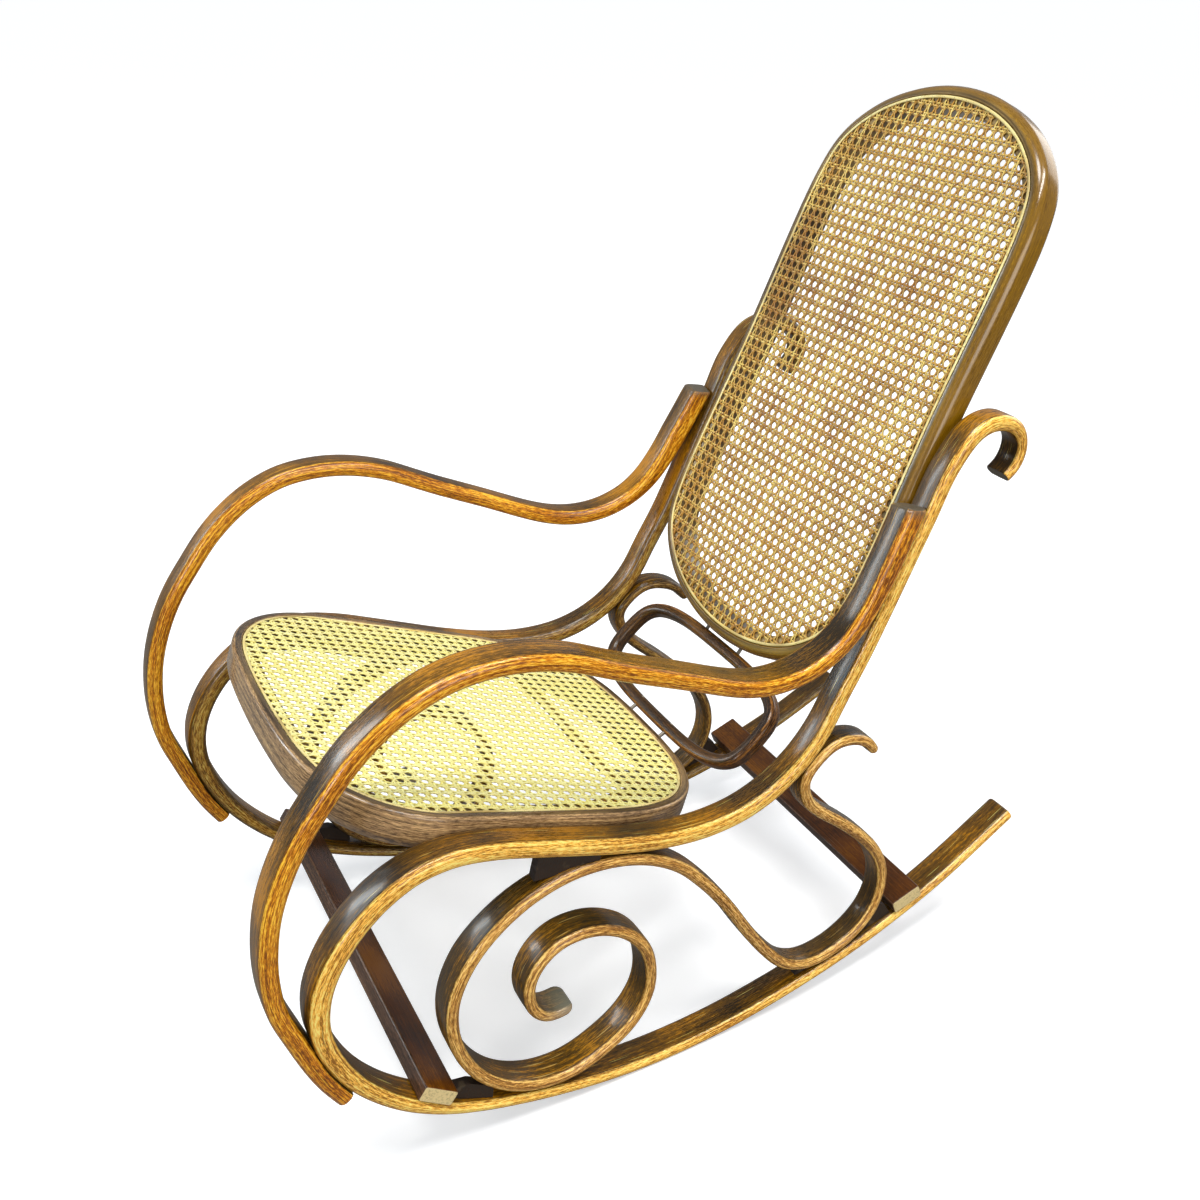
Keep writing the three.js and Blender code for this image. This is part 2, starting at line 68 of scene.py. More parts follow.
BACK_FOOT = (227.4, 423.1)
BACK_LEAN = math.radians(77.5)
BACK_HALF_WIDTH = 187.5
BACK_STRAIGHT_HALF = 210.0
BACK_END_HEIGHT = 120.0
BACK_TAPER = -0.0000984
BACK_CLEAR = 8.15
BACK_HALF_LENGTH = BACK_STRAIGHT_HALF + BACK_END_HEIGHT
BACK_ORIGIN = (
    BACK_FOOT[0] + BACK_HALF_LENGTH * math.cos(BACK_LEAN),
    BACK_FOOT[1] + BACK_HALF_LENGTH * math.sin(BACK_LEAN),
)
SIDE_OUTER = BACK_HALF_WIDTH + BACK_CLEAR + ROD_WIDTH - TOE_IN * BACK_ORIGIN[0] - LEAN * BACK_ORIGIN[1]


def side_face(u, w):
    """How far out the outer face of a side frame lies."""
    return SIDE_OUTER + TOE_IN * u + LEAN * w


def tilted(u, w):
    """u and w of the drawing, turned to the angle at which the chair rests."""
    return (
        u * math.cos(REST_TILT) - w * math.sin(REST_TILT),
        u * math.sin(REST_TILT) + w * math.cos(REST_TILT),
    )


def stand(x, u, w):
    """Places of the drawing, in millimetres, as places of the standing chair, in metres."""
    x, u, w = np.broadcast_arrays(x, u, w)
    y, z = tilted(u, w)
    return np.stack([x, y + STAND_Y, z + STAND_Z], -1) * MM


def on_plane(plane, x, v, q):
    """Places on a tilted plane, given by its origin and its angle: x across, v along it, q out of it."""
    origin, angle = plane
    u = origin[0] + v * math.cos(angle) - q * math.sin(angle)
    w = origin[1] + v * math.sin(angle) + q * math.cos(angle)
    return stand(x, u, w)


print("outer faces stand", round(2 * SIDE_OUTER), "mm apart at the middle of the runners")

# %% [markdown]
# A bent rod is one smooth line. Its marks are joined by a centripetal Catmull-Rom curve, as in the solids,
# then sampled every few millimetres and lightly smoothed, because steamed wood has no corners in it.
# Each mark number also carries the thickness of the rod and its bow out of the side plane.

# %% Smooth lines through marks
LINE_STEP = 4.0
LINE_SOFT = 6.0
SPAN_STEPS = 30


def run_along(points):
    """The distance of each point from the first, along the line."""
    return np.concatenate([[0], np.cumsum(np.linalg.norm(np.diff(points, axis=0), axis=1))])


def run_on(points, before, after, closed):
    """A line with points past its ends: round again where it is closed, else straight on."""
    ends = {"mode": "wrap"} if closed else {"mode": "reflect", "reflect_type": "odd"}
    return np.pad(points, ((before, after), (0, 0)), **ends)


def catmull_rom(marks, closed):
    """Points of the curve through the marks, with the mark number at each."""
    marks = run_on(np.array(marks, float), 1, 2 if closed else 1, closed)
    spans = len(marks) - 3
    points, numbers = [], []
    for i in range(spans):
        p0, p1, p2, p3 = marks[i:i + 4]
        t0, t1, t2 = (np.sqrt(np.linalg.norm(b - a)) for a, b in ((p0, p1), (p1, p2), (p2, p3)))
        m1 = t1 * ((p1 - p0) / t0 - (p2 - p0) / (t0 + t1) + (p2 - p1) / t1)
        m2 = t1 * ((p2 - p1) / t1 - (p3 - p1) / (t1 + t2) + (p3 - p2) / t2)
        t = np.linspace(0, 1, SPAN_STEPS + 1)[: SPAN_STEPS + (i == spans - 1), None]
        points.append(
            p1 + m1 * t + (3 * (p2 - p1) - 2 * m1 - m2) * t**2 + (2 * (p1 - p2) + m1 + m2) * t**3
        )
        numbers.append(i + t[:, 0])
    return np.vstack(points), np.concatenate(numbers)


def smooth_line(marks, closed=False):
    """Even stations on a smooth line: place, direction, mark number and run, all in millimetres."""
    points, numbers = catmull_rom(marks, closed)
    run = run_along(points)
    at = np.linspace(0, run[-1], round(run[-1] / LINE_STEP) + 1)
    place = np.stack([np.interp(at, run, points[:, k]) for k in (0, 1)], 1)
    number = np.interp(at, run, numbers)
    reach = int(3 * LINE_SOFT / LINE_STEP)
    weight = np.exp(-0.5 * (np.arange(-reach, reach + 1) * LINE_STEP / LINE_SOFT) ** 2)
    weight /= weight.sum()
    if closed:
        place, number, at = place[:-1], number[:-1], at[:-1]
    padded = run_on(place, reach, reach, closed)
    place = np.stack([np.convolve(padded[:, k], weight, "valid") for k in (0, 1)], 1)
    heading = np.gradient(run_on(place, 1, 1, closed), axis=0)[1:-1]
    heading /= np.linalg.norm(heading, axis=1)[:, None]
    return place, heading, number, at


def beside(place, heading, distance):
    """Both coordinates of points that lie off a line, to the left of each station."""
    return place[:, :1] - heading[:, 1:] * distance, place[:, 1:] + heading[:, :1] * distance


# %% [markdown]
# Every rod, hoop and bar is a section that travels along such a line. One helper makes the mesh from rows of
# points. It also writes what the wood finish needs: a UV map that runs along and round the wood in metres,
# and two masks that say how much a point lies on a flank or on a cut end.

# %% Meshes from rows of points
def new_object(name, data):
    """An object that is in the scene."""
    made = bpy.data.objects.new(name, data)
    bpy.context.scene.collection.objects.link(made)
    return made


def vertex_places(mesh):
    """The places of a mesh's points."""
    co = np.zeros(len(mesh.vertices) * 3)
    mesh.vertices.foreach_get("co", co)
    return co.reshape(-1, 3)


def move_vertices(mesh, places):
    """Puts a mesh's points at other places."""
    mesh.vertices.foreach_set("co", places.astype(np.float32).ravel())
    mesh.update()


def write_attributes(mesh, table):
    """Writes a number for each point under each name of the table."""
    for label, values in table.items():
        layer = mesh.attributes.new(label, "FLOAT", "POINT")
        layer.data.foreach_set("value", np.asarray(values, np.float32).ravel())


def mesh_from_rows(name, rows, along, around, masks, closed=False):
    """A closed mesh from rows of points, with its grain map and masks. Rows hold points in metres."""
    count, ring = rows.shape[:2]
    points = rows.reshape(-1, 3)
    along, around = (np.append(a, a[-1] + (a[1] - a[0])) for a in (along, around))
    i, j = (a.ravel() for a in np.indices((count if closed else count - 1, ring)))
    i_next, j_next = (i + 1) % count, (j + 1) % ring
    quads = np.stack([i * ring + j, i * ring + j_next, i_next * ring + j_next, i_next * ring + j], 1)
    faces = quads.tolist()
    u, v = along[np.stack([i, i, i + 1, i + 1], 1)], around[np.stack([j, j + 1, j + 1, j], 1)]
    uvs = [np.stack([u, v], -1).reshape(-1, 2)]
    if not closed:
        for row, order in ((0, np.arange(ring)), (count - 1, np.arange(ring)[::-1])):
            faces.append((row * ring + order).tolist())
            flat = rows[row] - rows[row].mean(0)
            uvs.append(np.stack([along[row] + flat[order, 0], flat[order, 1] + flat[order, 2]], 1))
    mesh = bpy.data.meshes.new(name)
    mesh.from_pydata(points.tolist(), [], faces)
    grain = mesh.uv_layers.new(name="grain")
    grain.data.foreach_set("uv", np.vstack(uvs).astype(np.float32).ravel())
    write_attributes(mesh, masks)
    mesh.shade_smooth()
    if not closed:
        for cut in mesh.polygons[-2:]:
            cut.use_smooth = False
    turn_outwards(mesh)
    return mesh


def turn_outwards(mesh):
    """Turns all faces round where a closed mesh has them inside out."""
    mesh.calc_loop_triangles()
    tri = np.zeros(len(mesh.loop_triangles) * 3, int)
    mesh.loop_triangles.foreach_get("vertices", tri)
    a, b, c = vertex_places(mesh)[tri].reshape(-1, 3, 3).transpose(1, 0, 2)
    if np.einsum("ij,ij->i", a, np.cross(b, c)).sum() < 0:
        mesh.flip_normals()


def add_piece(mesh, material, solid):
    """A piece of the chair from a finished mesh; it stands for the solid that is named."""
    piece = new_object(mesh.name, mesh)
    mesh.materials.clear()
    mesh.materials.append(material)
    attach(piece, "root")
    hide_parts(solid)
    print(f"{piece.name}: {sum(len(p.vertices) - 2 for p in mesh.polygons)} triangles")


# %% [markdown]
# The finish is one shader group for all the wood. On the real chair a dark stain lies over golden beech, and
# the varnish over it is glossy. Fibres run along the rod, so every noise is stretched along the grain map.
# The flank mask decides between gold and dark stain: the gold is partly worn stain and partly painted side
# light, with dark and chipped lines where the two meet.

# %% Small helpers for node trees
FINISH = (("Color", "Color"), ("Roughness", "Float"), ("Height", "Float"))


class Tree:
    """Adds nodes to a tree and links them in one line each."""

    def __init__(self, tree):
        self.tree = tree

    def add(self, kind, inputs=None, **settings):
        node = self.tree.nodes.new(kind)
        for key, value in settings.items():
            setattr(node, key, value)
        for key, value in (inputs or {}).items():
            self.feed(node.inputs[key], value)
        return node

    def feed(self, socket, value):
        """Links a socket, or a node's first output, to an input, or sets the input to a constant."""
        if isinstance(value, bpy.types.Node):
            value = value.outputs[0]
        if isinstance(value, bpy.types.NodeSocket):
            self.tree.links.new(value, socket)
        else:
            socket.default_value = value

    def math(self, operation, a, b=None, c=None, clamp=False):
        node = self.add("ShaderNodeMath", operation=operation, use_clamp=clamp)
        for socket, value in zip(node.inputs, (a, b, c)):
            if value is not None:
                self.feed(socket, value)
        return node.outputs[0]

    def times(self, a, b):
        return self.math("MULTIPLY", a, b)

    def plus(self, a, b, clamp=False):
        return self.math("ADD", a, b, clamp=clamp)

    def centred(self, value, amount):
        """A value around a half as one around 0, made wider or narrower."""
        return self.math("MULTIPLY_ADD", value, amount, -amount / 2)

    def near(self, value, target, far, close):
        """1 where a value lies close to its target, 0 where it lies far off."""
        return self.smooth(self.math("ABSOLUTE", self.math("SUBTRACT", value, target)), far, close)

    def noise(self, vector, scale, detail, roughness):
        inputs = {"Vector": vector, "Scale": scale, "Detail": detail, "Roughness": roughness}
        return self.add("ShaderNodeTexNoise", inputs).outputs["Fac"]

    def stretched(self, vector, sizes, detail, roughness):
        """Noise with its own scale along each axis."""
        scaled = self.add("ShaderNodeVectorMath", {0: vector, 1: sizes}, operation="MULTIPLY")
        return self.noise(scaled, 1.0, detail, roughness)

    def smooth(self, value, low, high, to_low=0.0, to_high=1.0):
        node = self.add(
            "ShaderNodeMapRange",
            {"Value": value, "From Min": low, "From Max": high, "To Min": to_low, "To Max": to_high},
            interpolation_type="SMOOTHSTEP",
        )
        return node.outputs["Result"]

    def mix(self, share, a, b):
        return self.add("ShaderNodeMix", {0: share, 6: a, 7: b}, data_type="RGBA").outputs[2]

    def tones(self, share, dark, middle, light):
        """Three colours that blend from dark to light."""
        lower = self.mix(self.smooth(share, 0.0, 0.5), dark, middle)
        return self.mix(self.smooth(share, 0.5, 1.0), lower, light)

    def two_stops(self, share, dark, light):
        """A ramp that is dark below 0.3 and light above 0.7."""
        node = self.add("ShaderNodeValToRGB", {0: share})
        for element, (stop, tone) in zip(node.color_ramp.elements, ((0.3, dark), (0.7, light))):
            element.position, element.color = stop, tone
        return node.outputs[0]

    def bumped(self, height, strength, distance):
        inputs = {"Height": height, "Strength": strength, "Distance": distance}
        return self.add("ShaderNodeBump", inputs).outputs["Normal"]


def new_tree(name, kind, inputs, outputs):
    """A node group with typed sockets: its helper, what it is given and what it gives."""
    group = bpy.data.node_groups.new(name, kind)
    for in_out, sockets in (("INPUT", inputs), ("OUTPUT", outputs)):
        for label, socket in sockets:
            group.interface.new_socket(label, in_out=in_out, socket_type="NodeSocket" + socket)
    t = Tree(group)
    return t, t.add("NodeGroupInput").outputs, t.add("NodeGroupOutput").inputs


def new_skin(name, sockets, masks, tones):
    """A finish as a node group: its helper, what it gives, and its inputs in the order of their names."""
    sockets = [*sockets, *((label, "Float") for label in masks), *((label, "Color") for label in tones)]
    t, given, result = new_tree(name, "ShaderNodeTree", sockets, FINISH)
    return t, result, [given[label] for label, kind in sockets]


def new_material(name):
    """A material, its tree helper and the inputs of its shader."""
    material = bpy.data.materials.new(name)
    material.use_nodes = True
    return material, Tree(material.node_tree), material.node_tree.nodes["Principled BSDF"].inputs


def colour(red, green, blue):
    """A colour that is written as it shows, 0 to 255, as the linear values that shaders take."""
    def linear(c):
        c /= 255
        return c / 12.92 if c <= 0.04045 else ((c + 0.055) / 1.055) ** 2.4
    return (linear(red), linear(green), linear(blue), 1)


def finish_material(name, skin, masks, labels, tones, values, bump, settings):
    """A material that lays one finish over a piece. It reads the piece's own masks and grain map."""
    material, nodes, shader = new_material(name)
    values = {**values, **{label: colour(*tone) for label, tone in zip(labels, tones)}}
    group = nodes.add("ShaderNodeGroup", values, node_tree=skin)
    nodes.feed(group.inputs["Place"], nodes.add("ShaderNodeTexCoord").outputs["Object"])
    if "Grain" in group.inputs:
        nodes.feed(group.inputs["Grain"], nodes.add("ShaderNodeUVMap", uv_map="grain"))
    for label in masks:
        mask = nodes.add("ShaderNodeAttribute", attribute_name=label.lower())
        nodes.feed(group.inputs[label], mask.outputs["Fac"])
    nodes.feed(shader["Base Color"], group.outputs["Color"])
    nodes.feed(shader["Roughness"], group.outputs["Roughness"])
    nodes.feed(shader["Normal"], nodes.bumped(group.outputs["Height"], *bump))
    for label, value in settings.items():
        shader[label].default_value = value
    return material


# %% The stained, worn and side-lit wood as a node group
WOOD_MASKS = ("Flank", "Tip")
WOOD_TONES = ("Rubbed And Lit Pale", "Rubbed And Lit", "Rubbed And Lit Dark", "Stain Light", "Stain", "Stain Dark", "Tip Colour")

t, result, given = new_skin(
    "worn_and_side_lit_wood", [("Grain", "Vector"), ("Place", "Vector"), ("Streak", "Float")], WOOD_MASKS, WOOD_TONES
)
WORN_AND_SIDE_LIT_WOOD = t.tree
grain, place, streak, flank, tip, *tones = given
rubbed_and_lit_pale, rubbed_and_lit, rubbed_and_lit_dark, stain_light, stain, stain_dark, tip_colour = tones
long_streaks = t.stretched(grain, (9.0, 360.0, 0.0), 4.0, 0.62)
fibres = t.stretched(grain, (110.0, 1000.0, 0.0), 3.0, 0.7)
flecks = t.stretched(grain, (210.0, 900.0, 0.0), 2.0, 0.6)
patches = t.noise(place, 9.0, 2.0, 0.5)
wide_patches = t.noise(place, 3.1, 2.0, 0.5)
streaks = t.plus(t.times(long_streaks, 0.45), t.times(fibres, 0.55))
streaks = t.math("MULTIPLY_ADD", t.math("SUBTRACT", streaks, 0.5), streak, 0.5)
rubbed_and_lit_share = t.plus(t.smooth(streaks, 0.4, 0.62), t.centred(patches, 0.5), clamp=True)
stain_share = t.plus(t.smooth(streaks, 0.3, 0.72), t.centred(patches, 2.2), clamp=True)
# Painted light: flanks take the golden tones and tops and fronts the dark stain; the gold is partly worn
# stain and partly the light that falls on the sides.
shown = t.mix(
    t.smooth(t.plus(flank, t.centred(fibres, 0.5)), 0.12, 0.6),
    t.tones(stain_share, stain_dark, stain, stain_light),
    t.tones(rubbed_and_lit_share, rubbed_and_lit_dark, rubbed_and_lit, rubbed_and_lit_pale),
)
line_breaks = t.smooth(t.plus(long_streaks, t.times(patches, 0.4)), 0.6, 0.78)
dark_line = t.times(t.near(flank, 0.22, 0.12, 0.03), line_breaks)
shown = t.mix(t.times(dark_line, 0.75), shown, stain_dark)
chips = t.times(t.near(flank, 0.5, 0.2, 0.04), t.smooth(flecks, 0.5, 0.62))
shown = t.mix(t.times(chips, line_breaks), shown, rubbed_and_lit_pale)
scratches = t.smooth(t.stretched(grain, (16.0, 700.0, 0.0), 1.0, 0.5), 0.69, 0.73)
shown = t.mix(t.times(scratches, 0.5), shown, rubbed_and_lit_pale)
end_fade = t.smooth(t.plus(tip, t.centred(fibres, 0.3)), 0.05, 0.5)
shown = t.mix(t.times(end_fade, 0.7), shown, tip_colour)
end_rings = t.noise(place, 380.0, 2.0, 0.6)
end_colour = t.mix(t.smooth(end_rings, 0.45, 0.75, 0.0, 0.4), tip_colour, stain_dark)
end_mask = t.smooth(tip, 0.75, 0.95)
shown = t.mix(t.times(end_mask, 0.999), shown, end_colour)
roughness = t.smooth(t.plus(wide_patches, t.centred(fibres, 0.4)), 0.3, 0.7, 0.2, 0.42)
height = t.plus(t.times(fibres, 0.6), t.times(long_streaks, 0.7))
t.feed(result["Color"], shown)
t.feed(result["Roughness"], t.plus(roughness, t.times(end_mask, 0.25)))
t.feed(result["Height"], t.math("SUBTRACT", height, t.times(dark_line, 0.8)))
print("the wood group has", len(WORN_AND_SIDE_LIT_WOOD.nodes), "nodes")

# %% [markdown]
# Each kind of piece has its own mix of the same finish: the arms are the most golden, the braces paler, the
# hoops greyer and the stretchers redder. The colours are inputs of the group, so a material is a few lines.

# %% Wood materials
WOOD_BUMP_DEPTH = 0.0006
OLD_END = (92, 84, 70)
WOOD_SHINE = {"Specular IOR Level": 0.3, "Coat Roughness": 0.16}


def wood_material(name, bump, coat, streak, *tones):
    """A varnished wood; its tones are three for the flanks, worn and painted as side-lit, three of stain,
    light first, and the cut's.
    """
    return finish_material(
        name, WORN_AND_SIDE_LIT_WOOD, WOOD_MASKS, WOOD_TONES, (*tones, OLD_END), {"Streak": streak},
        (bump, WOOD_BUMP_DEPTH), {**WOOD_SHINE, "Coat Weight": coat},
    )


rod_wood = wood_material(
    "rod_wood", 0.6, 0.5, 1.0, (255, 236, 130), (246, 182, 70), (146, 92, 20),
    (186, 124, 16), (98, 66, 8), (42, 30, 12),
)
arm_wood = wood_material(
    "arm_wood", 0.6, 0.5, 1.0, (255, 200, 60), (206, 126, 6), (116, 62, 0),
    (192, 128, 16), (110, 74, 8), (44, 32, 14),
)
brace_wood = wood_material(
    "brace_wood", 0.6, 0.45, 1.0, (255, 214, 122), (204, 146, 66), (116, 74, 26),
    (184, 124, 18), (86, 60, 10), (40, 31, 17), (128, 130, 116),
)
seat_wood = wood_material(
    "seat_wood", 0.3, 0.8, 0.75, (218, 180, 124), (160, 126, 86), (84, 64, 44),
    (160, 128, 78), (104, 82, 50), (52, 38, 22),
)
back_wood = wood_material(
    "back_wood", 0.25, 0.9, 0.4, (158, 116, 10), (126, 90, 4), (92, 62, 2),
    (168, 138, 80), (120, 96, 50), (70, 52, 24),
)
ring_wood = wood_material(
    "ring_wood", 0.4, 0.4, 1.0, (170, 112, 44), (104, 64, 20), (48, 28, 12),
    (110, 72, 20), (62, 40, 16), (26, 18, 12),
)
bar_wood = wood_material(
    "bar_wood", 0.35, 0.3, 0.7, (124, 90, 66), (84, 58, 40), (48, 30, 20),
    (134, 80, 8), (84, 44, 4), (42, 19, 4), (224, 202, 146),
)
print("made", len([m for m in bpy.data.materials if m.name.endswith("_wood")]), "wood materials")

# %% [markdown]
# The section of a rod is a rectangle with well rounded corners and slightly crowned faces. Its width and its
# thickness change along the rod, so the section is worked out for all stations at once. Both ends get a few
# more rows that draw the section in, which rounds the edge of the cut.

# %% Sections of the rods
CORNER_STEPS = 5
CROWN = 0.9
CROWN_THROUGH = 0.6
LEAST_FLAT = 0.3
CUT_ROWS = 2


def section_angles():
    """For each point of a section: the angle of its normal and the signs of its corner; 0 is mid face."""
    table = []
    for quarter, (sx, sy) in enumerate(((1, 1), (-1, 1), (-1, -1), (1, -1))):
        middle = [(1, 0), (0, 1), (-1, 0), (0, -1)][quarter]
        table.append((math.pi / 2 * quarter, *middle))
        for step in range(CORNER_STEPS + 1):
            table.append((math.pi / 2 * (quarter + step / CORNER_STEPS), sx, sy))
    return np.array(table)


def rod_sections(width, thick, corner, crown=CROWN):
    """Section points for many stations: x across the chair, y through the thickness of the rod."""
    angle, sx, sy = section_angles().T
    width, thick = (np.asarray(a, float)[:, None] for a in (width, thick))
    corner = np.minimum(corner, np.minimum(thick, width) / 2 - LEAST_FLAT)
    x = sx * (width / 2 - corner) + corner * np.cos(angle)
    y = sy * (thick / 2 - corner) + corner * np.sin(angle)
    flat_x = np.abs(x) / np.abs(x).max(1, keepdims=True)
    flat_y = np.abs(y) / np.abs(y).max(1, keepdims=True)
    x = x + np.where(sy == 0, 0, -np.sign(x) * crown * flat_y**2 * np.abs(np.cos(angle)))
    crown = CROWN_THROUGH * crown
    y = y + np.where(sx == 0, 0, -np.sign(y) * crown * flat_x**2 * np.abs(np.sin(angle)))
    return x, y


def section_masks(rows, inner=1.0):
    """The flank and tip masks for the rows of a rod; inner scales the inward flank, partly for less wear and
    partly as painted shade.
    """
    across = np.cos(section_angles()[:, 0])
    tip = np.zeros((rows, 1))
    tip[:CUT_ROWS] = tip[-CUT_ROWS:] = 1
    return {"flank": np.ones((rows, 1)) * np.maximum(across, -inner * across), "tip": tip + 0 * across}


def perimeter(width, thick, corner):
    """Distances round a section from its first point, in metres."""
    return run_along(np.concatenate(rod_sections([width], [thick], corner)).T) * MM


# %% Rods that follow a line on one side of the chair
END_ROUND = 1.6
END_ROWS = 6
FAR_SHARE = 0.25
# Painted shade: a low value darkens the inward flanks of the frames and braces, partly for less wear and
# partly for the shade inside the chair.
INNER_WEAR_AND_SHADE = 0.32
WORN_END_SHARE = 0.5
CARVE_WAVE = (0.9, 0.15)
SIDES = (("left", 1), ("right", -1))
NO_CHANGE = ((0, 0), (1, 0))


def rounded_end(radius):
    """How far the rows at an end draw in, and how far they lie from the cut."""
    angles = np.linspace(0, math.pi / 2, END_ROWS)
    return radius * (1 - np.sin(angles)), radius * (1 - np.cos(angles))


def end_rows(place, heading, number, run, rounding):
    """Adds rows at both ends that draw the section in round the edge of the cut."""
    (head_inset, head_shift), (tail_inset, tail_shift) = (rounded_end(radius) for radius in rounding)
    kept = np.nonzero((run > rounding[0] + 1) & (run < run[-1] - rounding[1] - 1))[0]
    stations = np.concatenate([[0] * END_ROWS, kept, [-1] * END_ROWS])
    shift = np.concatenate([head_shift, 0.0 * kept, -tail_shift[::-1]])
    inset = np.concatenate([head_inset, 0.0 * kept, tail_inset[::-1]])
    heading = heading[stations]
    place = place[stations] + heading * shift[:, None]
    return place, heading, number[stations], run[stations] + shift, inset


def carved(x, y, run, carve):
    """How far the carved end of a rod stands out, for each point of its first rows."""
    reach, tilt, wave = carve
    length, start = CARVE_WAVE
    fade = np.clip(1 - (run - run[0]) / reach, 0, 1)[:, None] ** 2
    across = x / np.abs(x).max()
    through = y / np.abs(y).max()
    return fade * (tilt * through + wave * np.sin(math.pi * (across * length + start)))


def side_rod(
    name, side, line, thick_marks, bow_marks, width=ROD_WIDTH, grain_starts=(0.0, 0.0),
    wider=NO_CHANGE, rounding=(END_ROUND, END_ROUND), longer=0.0, carve=None, worn_end=0.0,
    inner=1.0, thin_share=1.0,
):
    """A bent rod of one side of the chair as a mesh; side is 1 on the sitter's left."""
    if longer:
        end, before = (np.array(line[k], float) for k in (-1, -2))
        line = line[:-1] + [tuple(end + (end - before) / np.linalg.norm(end - before) * longer)]
    place, heading, number, run, inset = end_rows(*smooth_line(line), rounding)
    thick, bow, extra = (
        np.interp(number, *np.array(marks, float).T) for marks in (thick_marks, bow_marks, wider)
    )
    thick = thick - 2 * inset * thin_share
    extra = extra * (1 if side > 0 else FAR_SHARE)
    x, y = rod_sections(width + extra - 2 * inset, thick, ROD_CORNER)
    middle = side_face(place[:, 0], place[:, 1]) + bow - (ROD_WIDTH + extra) / 2
    out = 0 * x if carve is None else -carved(x, y, run, carve)
    u, w = beside(place, heading, y)
    rows = stand(side * (middle[:, None] + x), u + heading[:, :1] * out, w + heading[:, 1:] * out)
    around = perimeter(width, np.median(thick), ROD_CORNER)
    masks = section_masks(len(rows), inner)
    if worn_end:
        fade = WORN_END_SHARE * np.clip(1 - run / worn_end, 0, 1)
        masks["tip"] = np.maximum(masks["tip"], fade[:, None])
    return mesh_from_rows(name, rows, run * MM + grain_starts[side < 0], around, masks)


print("a rod section has", len(section_angles()), "points")

# %% [markdown]
# The side frame is the longest rod: it starts in the scroll behind the back, comes down as the post, turns
# into the seat rail, makes the front loop and runs off to the rear as the runner. Where it meets the floor
# its sole has worn flat, so the points below the floor are lifted to it.

# %% Side frames
FRAME_LINE = [
    (384, 701), (393, 711), (396.5, 725), (394, 738.5), (385, 750.5), (370, 757.5), (353, 759),
    (337, 755), (324, 746.5), (314, 733), (306.5, 717), (300, 699), (292.5, 659), (280, 601),
    (268.5, 547.5), (257, 498.5), (244, 455.5), (232, 414), (214, 380), (187, 350.5), (152.5, 328),
    (108, 313.5), (58, 308), (0, 310), (-50, 315.5), (-100, 321.5), (-146, 326), (-190, 324),
    (-226, 311), (-256, 286), (-278, 255), (-292, 221), (-297, 186), (-291, 150), (-273, 115),
    (-242, 78), (-196, 44), (-148, 22.5), (-99, 11), (0, 4), (99, 10), (198, 31), (297, 67),
    (396.5, 116), (495.5, 182.5), (585, 262),
]
FRAME_THICK = [
    (0, 13.5), (3, 13.5), (6, 18.5), (17, 18.5), (20, 20), (29, 20), (32, 21.5), (34, 20), (38, 14.5),
    (45, 14.5),
]
FRAME_BOW = [(0, -2.5), (15, -2.5), (21, 0)]
FRAME_WIDER = [(0, 0), (26, 0), (29, 7), (36, 7), (38, 5.7), (45, 5.7)]
TAIL_ROUND = 4.0
TAIL_LONGER = 6.0
FRAME_GRAIN = (0.0, 4.1)


def settle_on_floor(mesh):
    """Lifts what lies below the floor to it."""
    places = vertex_places(mesh)
    places[:, 2] = np.maximum(places[:, 2], 0)
    move_vertices(mesh, places)


for label, side in SIDES:
    rod = side_rod(
        f"bent_frame_{label}", side, FRAME_LINE, FRAME_THICK, FRAME_BOW, grain_starts=FRAME_GRAIN,
        wider=FRAME_WIDER, rounding=(END_ROUND, TAIL_ROUND), longer=TAIL_LONGER, inner=INNER_WEAR_AND_SHADE,
    )
    settle_on_floor(rod)
    add_piece(rod, rod_wood, f"side_frame_{label}")

# %% [markdown]
# The brace is a lighter rod. It starts as a spiral, grows into the big loop behind the front loop, dips to
# the runner, turns up in the rear loop and ends in a small curl behind the post.

# %% Scroll braces
BRACE_LINE = [
    (-11.5, 116), (-41.5, 109.5), (-62.5, 125.5), (-72, 153), (-66.5, 178.5), (-49.5, 199), (-22, 208.5),
    (8, 207), (41, 193.5), (67, 169), (81.5, 136), (84, 106), (71.5, 72.5), (45, 45.5), (10, 25),
    (-30, 19.5), (-70, 28.5), (-104, 49), (-132, 80), (-150.5, 117), (-156.5, 155),
    (-148.5, 194), (-129, 229), (-97, 261), (-55, 283), (-8, 291.3), (38, 287), (81, 271.5),
    (122, 243.5), (163, 208), (203, 167.5), (242, 131.5), (276, 107), (312, 98.8),
    (347, 108.2), (376, 128.6), (394.5, 156), (398.5, 187), (390, 217), (370, 244),
    (338, 269.5), (298, 293.5), (262, 312), (237, 330), (224.5, 356), (236, 381),
    (254, 397), (275, 401), (300, 396), (317, 382.5),
]
BRACE_THICK = [(0, 11.5), (3, 14.5), (47, 14.5), (49, 11.5)]
BRACE_WIDTH = 32.5
BRACE_WIDER = [(0, 8), (21, 8), (24, 0), (28, 0)]
BRACE_WORN = 60.0
BRACE_END_ROUND = (11.0, 6.0)
BRACE_THIN_SHARE = 0.46
BRACE_GRAIN = (8.3, 11.9)

for label, side in SIDES:
    rod = side_rod(
        f"scroll_brace_{label}", side, BRACE_LINE, BRACE_THICK, NO_CHANGE, BRACE_WIDTH, BRACE_GRAIN,
        BRACE_WIDER, BRACE_END_ROUND, worn_end=BRACE_WORN, inner=INNER_WEAR_AND_SHADE,
        thin_share=BRACE_THIN_SHARE,
    )
    add_piece(rod, brace_wood, f"brace_{label}")

# %% [markdown]
# The arm is a rod of its own. Its thick upper end is fitted against the front of the post, and its foot
# against the front loop. A maker scribes the arm to the post and cuts it away, and a Boolean does the same
# here: a slightly grown side frame is taken out of the arm.

